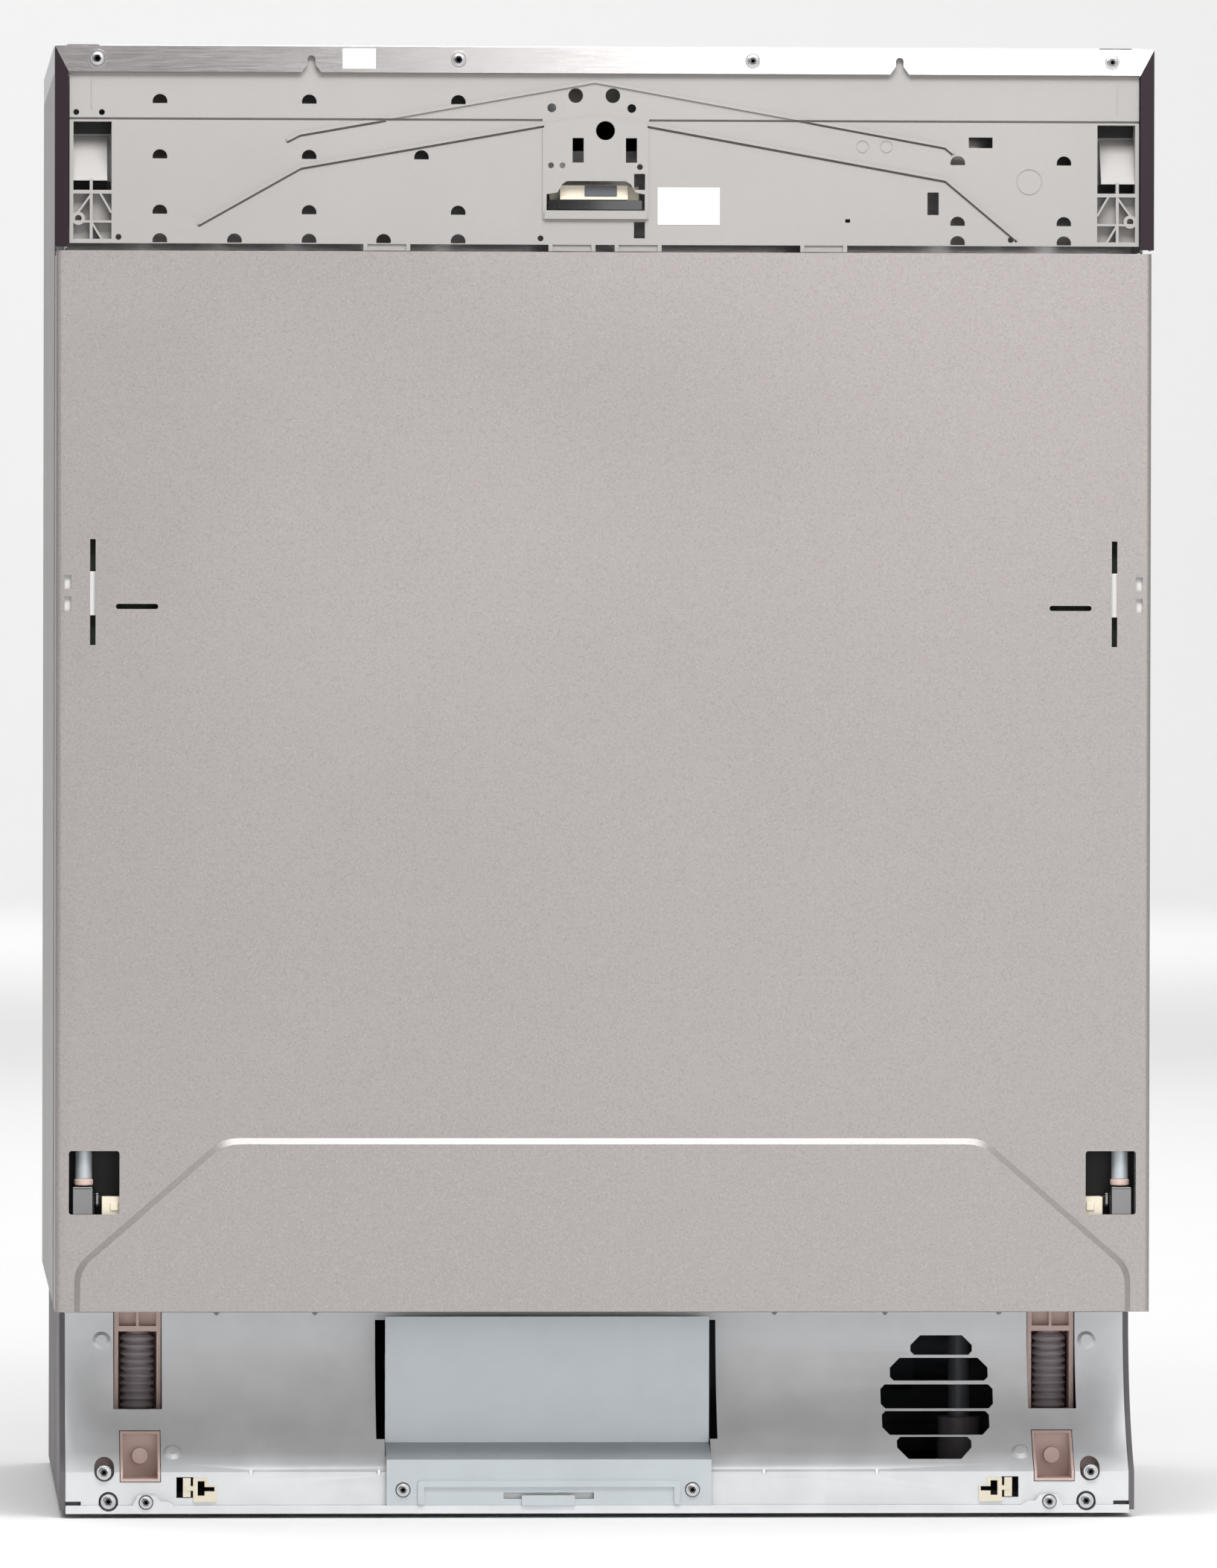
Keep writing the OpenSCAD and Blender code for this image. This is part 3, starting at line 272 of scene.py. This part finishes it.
def finish_node(name, node):
    """The node's own surface, with welded seams and narrow rounded edges that catch the light."""
    mesh = node.data
    mesh.materials.clear()
    mesh.materials.append(MATERIALS[FINISH.get(name, slot_of(name))])
    if "custom_normal" in mesh.attributes:
        mesh.attributes.remove(mesh.attributes["custom_normal"])
    mesh.polygons.foreach_set("use_smooth", [True] * len(mesh.polygons))
    weld = node.modifiers.new("weld", "WELD")
    weld.merge_threshold = WELD_REACH
    flat = node.modifiers.new("flat", "DECIMATE")
    flat.decimate_type = "DISSOLVE"
    flat.angle_limit = FLAT_ANGLE
    edge = round_edges(node, EDGE.get(name, DEFAULT_EDGE))
    edge.use_clamp_overlap = True


def round_edges(piece, width):
    """Bevels the sharp edges, width in millimetres."""
    bevel = piece.modifiers.new("edge", "BEVEL")
    bevel.width = width * MM
    bevel.segments = EDGE_SEGMENTS
    bevel.limit_method = "ANGLE"
    bevel.angle_limit = SMOOTH_ANGLE
    bevel.harden_normals = True
    return bevel


# Pieces

def link(name, data, body, slot, *replaced):
    """Links a new piece, makes it ride on a body and gives it its slot's surface."""
    piece = bpy.data.objects.new(name, data)
    scene.collection.objects.link(piece)
    data.materials.append(MATERIALS[slot])
    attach(piece, body)
    if replaced:
        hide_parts(*replaced)
    return piece


def rounded_path(points, radius, steps=5, closed=False):
    """The points with each corner turned into a short curve."""
    points = [Vector(p) for p in points]
    count = len(points)
    result = []
    for i, corner in enumerate(points):
        if not closed and i in (0, count - 1):
            result.append(corner)
            continue
        before = points[i - 1] - corner
        after = points[(i + 1) % count] - corner
        reach = min(radius, before.length * 0.49, after.length * 0.49)
        start = corner + before.normalized() * reach
        end = corner + after.normalized() * reach
        for k in range(steps + 1):
            t = k / steps
            result.append(start * (1 - t) ** 2 + corner * 2 * t * (1 - t) + end * t ** 2)
    return result


def wires(name, groups, body, slot, *replaced):
    """Round wires as one mesh. A group is (paths, wire radius, closed), and a path is a list of points."""
    mesh = bmesh.new()
    for paths, radius, closed in groups:
        for path in paths:
            sweep(mesh, [Vector(p) for p in path], radius, closed)
    bmesh.ops.recalc_face_normals(mesh, faces=mesh.faces)
    data = bpy.data.meshes.new(name)
    mesh.to_mesh(data)
    mesh.free()
    data.polygons.foreach_set("use_smooth", [True] * len(data.polygons))
    link(name, data, body, slot, *replaced)


def in_metres(profile):
    return [(radius * MM, along * MM) for radius, along in profile]


TIP_REACH = 0.6


def ring_of(mesh, centre, normal, side, radius, sides):
    """Vertices around a circle in the plane of normal and side."""
    angles = [2 * math.pi * k / sides for k in range(sides)]
    return [mesh.verts.new(centre + (normal * math.cos(a) + side * math.sin(a)) * radius) for a in angles]


def bridge(mesh, first, second):
    """A band of faces between two rings of as many vertices."""
    for k in range(len(first)):
        j = (k + 1) % len(first)
        mesh.faces.new((first[k], first[j], second[j], second[k]))


def sweep(mesh, path, radius, closed, sides=8):
    """A tube along a path, with pointed ends where it isn't closed."""
    count = len(path)
    rings = []
    normal = None
    for i, point in enumerate(path):
        ahead = path[(i + 1) % count] if closed or i < count - 1 else path[i]
        behind = path[i - 1] if closed or i > 0 else path[i]
        tangent = (ahead - behind).normalized()
        if normal is None:
            normal = tangent.orthogonal().normalized()
        normal = (normal - tangent * normal.dot(tangent)).normalized()
        rings.append((ring_of(mesh, point, normal, tangent.cross(normal), radius, sides), tangent))
    pairs = list(zip(rings, rings[1:])) + ([(rings[-1], rings[0])] if closed else [])
    for (first, _), (second, _) in pairs:
        bridge(mesh, first, second)
    if not closed:
        for (ring, tangent), sign in ((rings[0], -1), (rings[-1], 1)):
            centre = sum((v.co for v in ring), Vector()) / sides
            tip = mesh.verts.new(centre + tangent * sign * radius * TIP_REACH)
            for k in range(sides):
                mesh.faces.new((ring[k], ring[(k + 1) % sides], tip))


def block(mesh, low, high):
    """A box between two corners, added to a mesh under construction."""
    centre = (Vector(low) + Vector(high)) / 2
    size = Vector(high) - Vector(low)
    matrix = Matrix.Translation(centre) @ Matrix.Diagonal((*size, 1.0))
    bmesh.ops.create_cube(mesh, size=1.0, matrix=matrix)


def lathe(mesh, axis_point, direction, profile, sides=28):
    """A turned form: profile holds (radius, distance along direction)."""
    direction = Vector(direction).normalized()
    normal = direction.orthogonal().normalized()
    side = direction.cross(normal)
    rings = []
    for radius, along in profile:
        rings.append(ring_of(mesh, Vector(axis_point) + direction * along, normal, side, radius, sides))
    for first, second in zip(rings, rings[1:]):
        bridge(mesh, first, second)
    mesh.faces.new(rings[0])
    mesh.faces.new(list(reversed(rings[-1])))


def solid(name, mesh, body, slot, edge):
    """Closes a mesh under construction into a piece, with rounded edges of a width in millimetres."""
    bmesh.ops.recalc_face_normals(mesh, faces=mesh.faces)
    data = bpy.data.meshes.new(name)
    mesh.to_mesh(data)
    mesh.free()
    data.polygons.foreach_set("use_smooth", [True] * len(data.polygons))
    round_edges(link(name, data, body, slot), edge)


def spread(start, end, step):
    """Even places from start to end, about one step apart."""
    count = max(1, round((end - start) / step))
    return [start + (end - start) * i / count for i in range(count + 1)]


# Racks: round coated wires in place of the plain bars

WIRE = 1.5 * MM
HEAVY_WIRE = 1.1 * WIRE
RIM = 2.3 * MM
CORNER = 16 * MM
FOOT_RAIL = 14 * MM


def basket_wires(low, high, step):
    """Bent wires front to back and side to side, with a heavy rim, a waist rail and a foot rail."""
    x0, y0, z0 = low
    x1, y1, z1 = high
    thin = []
    for x in spread(x0 + step, x1 - step, step):
        thin.append(rounded_path([(x, y0, z1), (x, y0, z0), (x, y1, z0), (x, y1, z1)], CORNER))
    upper = z0 + 2 * WIRE
    for y in spread(y0 + step, y1 - step, step):
        thin.append(rounded_path([(x0, y, z1), (x0, y, upper), (x1, y, upper), (x1, y, z1)], CORNER))
    loops = []
    for z in (z0 + FOOT_RAIL, (z0 + z1) / 2, z1):
        ring = [(x0, y0, z), (x1, y0, z), (x1, y1, z), (x0, y1, z)]
        loops.append(rounded_path(ring, 2 * CORNER, 6, closed=True))
    return [(thin, WIRE, False), (loops[:2], HEAVY_WIRE, True), (loops[2:], RIM, True)]


def tine_rows(rows, start, end, step, z0, z1):
    """Upright tines from z0 to z1, in rows at the given X, about one step apart in Y."""
    return [[(x, y, z0), (x, y, z1)] for x in rows for y in spread(start, end, step)]


LOWER_BOTTOM = 28 * MM
LOWER_STEP = 32 * MM
LOWER_SIDE_GAP = 2 * MM
FIXED_ROWS = (-180 * MM, -60 * MM)
FIXED_TINE_HEIGHT = 75 * MM
LOWER_TINE_STEP = 22 * MM


def add_lower_rack():
    low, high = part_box("lower_rack")
    bottom = low.z + LOWER_BOTTOM
    side_inset = RIM + LOWER_SIDE_GAP
    groups = basket_wires((low.x + side_inset, low.y + RIM, bottom + WIRE),
                          (high.x - side_inset, high.y - RIM, high.z - RIM), LOWER_STEP)
    fixed = tine_rows(FIXED_ROWS, -160 * MM, 180 * MM, LOWER_TINE_STEP, bottom + WIRE,
                      bottom + FIXED_TINE_HEIGHT)
    groups.append((fixed, HEAVY_WIRE, False))
    wires("lower_rack_wires", groups, "lower_rack", "rack_coating", "lower_rack")
    add_lower_rack_carriers(low.z, bottom)
    add_folding_tines()


WHEEL_PLACES = (-120 * MM, 150 * MM)
WHEEL_PLATE_X = (238.2 * MM, 241.8 * MM)
WHEEL_PLATE_HALF = 16 * MM
WHEEL_PLATE_HEIGHT = 52 * MM
HUB_X = 241.5 * MM
HUB = [(7 * MM, 0), (7 * MM, 0.9 * MM), (4 * MM, 1.2 * MM)]
TINE_BEARING_PLACES = (-150 * MM, 165 * MM)
TINE_BEARING_HALF = (6 * MM, 3 * MM)
TINE_BEARING_HEIGHT = 8.2 * MM


def add_lower_rack_carriers(wheel_foot, bottom):
    """The plates and hubs of the wheels, and the two bearings of the folding tines."""
    wheel_low, wheel_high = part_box("rack_wheels")
    tine_low, tine_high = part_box("folding_tines")
    carriers = bmesh.new()
    for side in (-1, 1):
        for y in WHEEL_PLACES:
            left, right = sorted(side * x for x in WHEEL_PLATE_X)
            block(carriers, (left, y - WHEEL_PLATE_HALF, wheel_foot),
                  (right, y + WHEEL_PLATE_HALF, wheel_foot + WHEEL_PLATE_HEIGHT))
            lathe(carriers, (side * HUB_X, y, (wheel_low.z + wheel_high.z) / 2), (side, 0, 0), HUB)
    x = (tine_low.x + tine_high.x) / 2
    half_x, half_y = TINE_BEARING_HALF
    for y in TINE_BEARING_PLACES:
        block(carriers, (x - half_x, y - half_y, bottom),
              (x + half_x, y + half_y, tine_low.z + TINE_BEARING_HEIGHT))
    solid("lower_rack_carriers", carriers, "lower_rack", "dark_plastic", edge=0.8)


TINE_ROD = 2.4 * MM
TINE_ROD_END = 1.5 * MM
TINE_AXIS = 2.5 * MM
TINE_TOP_GAP = 1 * MM


def add_folding_tines():
    low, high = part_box("folding_tines")
    x = (low.x + high.x) / 2
    axis_z = low.z + TINE_AXIS
    rod = [[(x, low.y + TINE_ROD_END, axis_z), (x, high.y - TINE_ROD_END, axis_z)]]
    row = tine_rows([x], -135 * MM, 150 * MM, LOWER_TINE_STEP, axis_z, high.z - TINE_TOP_GAP)
    wires("folding_tine_wires", [(rod, TINE_ROD, False), (row, HEAVY_WIRE, False)], "folding_tines",
          "rack_coating", "folding_tines")


UPPER_BOTTOM = 26 * MM
UPPER_STEP = 30 * MM
UPPER_HALF = 246 * MM
UPPER_ROWS = (-123 * MM, 123 * MM)
UPPER_TINE_HEIGHT = 55 * MM
UPPER_TINE_STEP = 24 * MM
SLIDE_ENDS = (-150 * MM, 170 * MM)
SLIDE_STEPS = [(246, 256.5, 574, 582), (256, 264, 575.5, 580.5)]
FEED_SPOUT = [(8, 0), (8, 27), (11, 28), (11, 31), (8, 32)]


def add_upper_rack():
    low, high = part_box("upper_rack")
    half = UPPER_HALF - RIM
    bottom = low.z + UPPER_BOTTOM
    groups = basket_wires((-half, low.y + RIM, bottom + WIRE), (half, high.y - RIM, high.z - RIM), UPPER_STEP)
    rows = tine_rows(UPPER_ROWS, -170 * MM, 170 * MM, UPPER_TINE_STEP, bottom + WIRE,
                     bottom + UPPER_TINE_HEIGHT)
    groups.append((rows, WIRE, False))
    wires("upper_rack_wires", groups, "upper_rack", "rack_coating", "upper_rack")
    add_upper_rack_slides()
    add_upper_rack_feed(low.z, high.y, bottom)


def add_upper_rack_slides():
    """Stepped bars along both sides, from X and Z ranges in millimetres."""
    rails = bmesh.new()
    for side in (-1, 1):
        for x0, x1, z0, z1 in SLIDE_STEPS:
            left, right = sorted((side * x0 * MM, side * x1 * MM))
            block(rails, (left, SLIDE_ENDS[0], z0 * MM), (right, SLIDE_ENDS[1], z1 * MM))
    solid("upper_rack_slides", rails, "upper_rack", "brushed_steel", edge=0.5)


def add_upper_rack_feed(spout_z, back, bottom):
    """The spout that carries the upper spray arm, and the pipe that feeds it from the back."""
    arm_low, arm_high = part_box("spray_arm_upper")
    centre_y = (arm_low.y + arm_high.y) / 2
    feed = bmesh.new()
    lathe(feed, (0, centre_y, spout_z), (0, 0, 1), in_metres(FEED_SPOUT))
    pipe_half = 9 * MM
    pipe_z = bottom + 10 * MM
    block(feed, (-pipe_half, centre_y, pipe_z - 6 * MM), (pipe_half, back - 8 * MM, pipe_z + 4 * MM))
    solid("upper_rack_feed_pipe", feed, "upper_rack", "dark_plastic", edge=1.5)


TRAY_FLOOR = 2.6 * MM
TRAY_SIDE_GAP = 24 * MM
TRAY_END_GAP = 60 * MM
COMB_STEP = 80 * MM
COMB_BASE_HEIGHT = 3.5 * MM
FIN_STEP = 14 * MM
FIN_HEIGHT = 13 * MM
DIVIDER_X = 100 * MM
DIVIDER_GAP = 4 * MM


def add_cutlery_combs():
    """Rows of fins that hold the cutlery apart, on the tray's floor and clear of its two dividers."""
    low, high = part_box("cutlery_tray")
    floor = low.z + TRAY_FLOOR
    half = high.x - TRAY_SIDE_GAP
    base_half = 2 * MM
    fin_half_x = 0.9 * MM
    fin_half_y = 9 * MM
    combs = bmesh.new()
    for y in spread(low.y + TRAY_END_GAP, high.y - TRAY_END_GAP, COMB_STEP):
        block(combs, (-half, y - base_half, floor), (half, y + base_half, floor + COMB_BASE_HEIGHT))
        for x in spread(-half + 6 * MM, half - 6 * MM, FIN_STEP):
            if abs(abs(x) - DIVIDER_X) > DIVIDER_GAP:
                block(combs, (x - fin_half_x, y - fin_half_y, floor),
                      (x + fin_half_x, y + fin_half_y, floor + FIN_HEIGHT))
    solid("cutlery_combs", combs, "cutlery_tray", "rack_coating", edge=0.4)


# Pieces seen through the door's square windows and slots. Their sizes are in millimetres.

DOOR_FACE = FRONT + 2.5 * MM
HINGE_X = 282.4
HINGE_DEPTH = 9.0
DAMPER_Z = 187.0
DAMPER = [(4.2, 0), (4.6, 0.6), (4.6, 26), (3, 27)]
COLLAR_Z = 183.6
COLLAR = [(4.8, 0), (5.2, 0.5), (5.2, 3), (4.8, 3.5)]
LOCK_BLOCKS = [(276.5, 289.5, 3.4, 14, 160, 183.2), (273.2, 277, 6, 14, 172, 180)]
CORNER_BLOCKS = [(262.0, 272.6, 3, 15, 158, 177.6), (263.6, 268, 2.2, 3.2, 170, 174.6)]
# A dark plate at the back of each hinge window: painted shade, where the window's inside would otherwise show
# light parts
WINDOW_PAINTED_SHADE = [(262.0, 291.0, 16.5, 17.5, 158, 212)]
HOOK_GUIDE = [(273.0, 294.0, 2.2, 7.5, 493, 517)]


def turned(name, x, z, profile, slot):
    """An upright turned part in a window: profile holds (radius, height above z) in millimetres."""
    mesh = bmesh.new()
    lathe(mesh, (x * MM, DOOR_FACE + HINGE_DEPTH * MM, z * MM), (0, 0, 1), in_metres(profile))
    solid(name, mesh, "door", slot, edge=0.3)


def boxes(name, side, face, parts, slot, edge):
    """Blocks of the door behind a face, as X, depth and Z ranges in millimetres, mirrored by side."""
    mesh = bmesh.new()
    for x0, x1, y0, y1, z0, z1 in parts:
        left, right = sorted((side * x0 * MM, side * x1 * MM))
        block(mesh, (left, face + y0 * MM, z0 * MM), (right, face + y1 * MM, z1 * MM))
    solid(name, mesh, "door", slot, edge=edge)


def add_hinge_details():
    """The damper, collar, lock block and corner block of each hinge, before a dark plate that paints the
    shade in its window.
    """
    for side, label in ((-1, "left"), (1, "right")):
        turned("hinge_damper_" + label, side * HINGE_X, DAMPER_Z, DAMPER, "plate_steel")
        turned("hinge_collar_" + label, side * HINGE_X, COLLAR_Z, COLLAR, "beige_plastic")
        boxes("hinge_lock_" + label, side, DOOR_FACE, LOCK_BLOCKS, "display_black", 1.6)
        boxes("hinge_corner_" + label, side, DOOR_FACE, CORNER_BLOCKS, "cream_plastic", 0.7)
        # painted shade: a dark plate behind the hinge window
        boxes("hinge_painted_shade_" + label, side, DOOR_FACE, WINDOW_PAINTED_SHADE, "rubber_black", 0.2)
        boxes("hook_guide_" + label, side, DOOR_FACE, HOOK_GUIDE, "label_white", 0.5)


# Details of the face: screw heads with painted shade around them and in their sockets, and dark plates that
# paint the shade in the depths of the openings. Their sizes are in millimetres.

CARRIER_FACE = FRONT + 4.5 * MM
TRIM_HEADS = [(x, 795.0, 1.5) for x in (-276, -80, 80, 276)]
PLATE_HEADS = [(x, 15.5, 48.0) for x in (-107, 51.5)]
RAIL_HEADS = [(x, 8.8, 48.0) for x in (-247.5, 247.5)]
SHEET_HEADS = [(x, 9.0, 52.4) for x in (-268, 268)] + [(x, 25.0, 51.0) for x in (-270.4, 270.4)]
HEAD_DOME = [(1.0, 0), (1.0, 0.5), (0.93, 1.1), (0.75, 1.55), (0.5, 1.7)]
# The dark ring around each head and the dark star on it are painted shade of the countersink and the socket
HEAD_SEAT_SHADE = [(1.16, -0.3), (1.16, 0.12), (0.9, 0.12)]
SOCKET_DEPTH = 1.5
SOCKET_RISE = 0.3
# A dark plate behind the handle opening: painted shade for the depth of the opening
LATCH_PAINTED_SHADE = [(-31, 20.5, 7, 8, 714.2, 719.4)]
# Dark plates in the corner wells of the carrier: painted shade in the well and at its top
CORNER_PAINTED_SHADE = [(268.5, 288.6, 13.6, 14.6, 724.0, 728.8), (268.5, 288.6, 13.6, 14.6, 754.6, 760.8)]


def add_screw_heads(name, body, heads, radius):
    """Domed heads, each in a dark ring of painted shade around its seat and with a dark star of painted shade
    for its socket. A head is X, Z and the depth of its seat behind the front, in millimetres.
    The forms of dome and seat shade are in radii across and millimetres along."""
    domes = bmesh.new()
    dark = bmesh.new()
    for x, z, depth in heads:
        place = Vector((x * MM, FRONT + depth * MM, z * MM))
        for mesh, form in ((domes, HEAD_DOME), (dark, HEAD_SEAT_SHADE)):
            lathe(mesh, place, (0, -1, 0), [(r * radius * MM, h * MM) for r, h in form])
        for turn in range(3):
            star_arm(dark, place - Vector((0, SOCKET_DEPTH * MM, 0)), math.pi * turn / 3, radius * MM)
    solid(name, domes, body, "screw_steel", edge=0.08)
    solid(name + "_painted_socket_shade", dark, body, "display_black", edge=0.05)


def star_arm(mesh, base, angle, radius):
    """A flat dark bar across a screw head, one arm of the painted shade of its socket."""
    reach = Vector((math.cos(angle), 0, math.sin(angle))) * 0.52 * radius
    across = Vector((-math.sin(angle), 0, math.cos(angle))) * 0.2 * radius
    corners = [base + reach + across, base + reach - across, base - reach - across, base - reach + across]
    low = [mesh.verts.new(c) for c in corners]
    high = [mesh.verts.new(c - Vector((0, SOCKET_RISE * MM, 0))) for c in corners]
    mesh.faces.new(low)
    mesh.faces.new(list(reversed(high)))
    for k in range(4):
        j = (k + 1) % 4
        mesh.faces.new((low[k], high[k], high[j], low[j]))


def add_latch_hook():
    """The hook that shows in the handle opening and rides on the latch."""
    hook = bmesh.new()
    block(hook, (-11 * MM, CARRIER_FACE + 4.1 * MM, 721.4 * MM),
          (6.5 * MM, CARRIER_FACE + 5.2 * MM, 727.2 * MM))
    solid("latch_hook", hook, "door_latch", "dark_plastic", edge=0.3)


def add_face_details():
    add_screw_heads("trim_screw_heads", "door", TRIM_HEADS, 3.9)
    add_screw_heads("plate_screw_heads", "cabinet", PLATE_HEADS, 3.6)
    add_screw_heads("rail_screw_heads", "cabinet", RAIL_HEADS, 3.5)
    add_screw_heads("sheet_screw_heads", "cabinet", SHEET_HEADS, 4.0)
    # painted shade: a dark plate behind the handle opening
    boxes("latch_painted_shade", 1, CARRIER_FACE, LATCH_PAINTED_SHADE, "display_black", 0.2)
    add_latch_hook()
    for side, label in ((-1, "left"), (1, "right")):
        # painted shade: dark plates deep in the corner wells
        boxes("corner_painted_shade_" + label, side, CARRIER_FACE, CORNER_PAINTED_SHADE, "rubber_black", 0.2)


# Stage and light

FLOOR_HALF_WIDTH = 22.0
FLOOR_FRONT = -20.0
CURVE_START = 16.5
CURVE_RADIUS = 2.5
CURVE_STEPS = 16
BACKDROP_TOP = 11.0
FLOOR_WHITE = (0.82, 0.82, 0.82)


def add_floor():
    """A pale floor that curves up into a backdrop, which stands behind every place a view is taken from."""
    mesh = bpy.data.meshes.new("floor")
    profile = [(FLOOR_FRONT, 0.0)]
    for i in range(CURVE_STEPS + 1):
        angle = math.pi / 2 * i / CURVE_STEPS
        profile.append((CURVE_START + CURVE_RADIUS * math.sin(angle), CURVE_RADIUS * (1 - math.cos(angle))))
    profile.append((CURVE_START + CURVE_RADIUS, BACKDROP_TOP))
    vertices = [(x, y, z) for y, z in profile for x in (-FLOOR_HALF_WIDTH, FLOOR_HALF_WIDTH)]
    faces = [(2 * i, 2 * i + 1, 2 * i + 3, 2 * i + 2) for i in range(len(profile) - 1)]
    mesh.from_pydata(vertices, [], faces)
    mesh.polygons.foreach_set("use_smooth", [True] * len(mesh.polygons))
    floor = bpy.data.objects.new("floor", mesh)
    scene.collection.objects.link(floor)
    mesh.materials.append(surface("floor_pale", FLOOR_WHITE, 0.7, contrast=0.005, bump=0.02, mottle=2))


MIDDLE = (0.0, 0.0, 0.4)
WARM = (1.0, 0.985, 0.97)
WORLD_COLOUR = (1.0, 0.975, 0.97)
WORLD_STRENGTH = 0.27


def add_light(name, place, aim, width, height, power, tint=(1, 1, 1)):
    """A rectangular light of some metres by some metres and a power in watts, turned towards its aim."""
    data = bpy.data.lights.new(name, "AREA")
    data.shape = "RECTANGLE"
    data.size = width
    data.size_y = height
    data.energy = power
    data.color = tint
    light = bpy.data.objects.new(name, data)
    scene.collection.objects.link(light)
    light.location = place
    light.visible_camera = False
    light.rotation_euler = (Vector(aim) - Vector(place)).to_track_quat("-Z", "Y").to_euler()


def add_lights():
    """Soft light on the machine, and large lights that keep the floor and the backdrop behind it pale."""
    add_light("top", (0.2, -1.7, 2.7), (0.0, -0.5, 0.3), 3.0, 2.0, 46)
    add_light("front_right", (2.35, -5.6, 1.8), (0.0, -0.3, 0.9), 4.2, 2.4, 42, WARM)
    add_light("left", (-3.6, -2.8, 1.6), MIDDLE, 2.0, 2.6, 6)
    add_light("rear_left", (-2.4, 3.0, 2.6), MIDDLE, 2.0, 2.0, 11)
    add_light("rear_right", (2.6, 2.6, 2.4), MIDDLE, 2.0, 2.0, 11)
    add_light("backdrop", (0.0, 12.5, 6.0), (0.0, 18.6, 1.2), 11.0, 3.0, 475)
    add_light("floor_far", (0.0, 8.3, 4.5), (0.0, 8.4, 0.0), 9.0, 6.5, 160)
    add_light("floor_behind", (0.0, 3.7, 4.0), (0.0, 3.8, 0.0), 8.0, 5.6, 180)
    add_light("trim_card", (1.12, -5.7, 1.05), (0.1, -0.285, 0.9), 1.7, 0.6, 6.5)
    add_light("over_front", (0.05, -1.25, 1.75), (0.05, -0.3, 0.65), 1.2, 0.5, 24)
    add_light("low_front", (0.3, -3.4, 0.09), (0.0, -0.3, 0.05), 2.2, 0.14, 3.6)


def add_world():
    world = bpy.data.worlds.new("studio")
    world.use_nodes = True
    background = world.node_tree.nodes["Background"]
    background.inputs["Color"].default_value = (*WORLD_COLOUR, 1.0)
    background.inputs["Strength"].default_value = WORLD_STRENGTH
    scene.world = world


add_camera()
add_floor()
add_lights()
add_world()
for node_name, node_object in NODES.items():
    finish_node(node_name, node_object)
add_lower_rack()
add_upper_rack()
add_cutlery_combs()
add_hinge_details()
add_face_details()
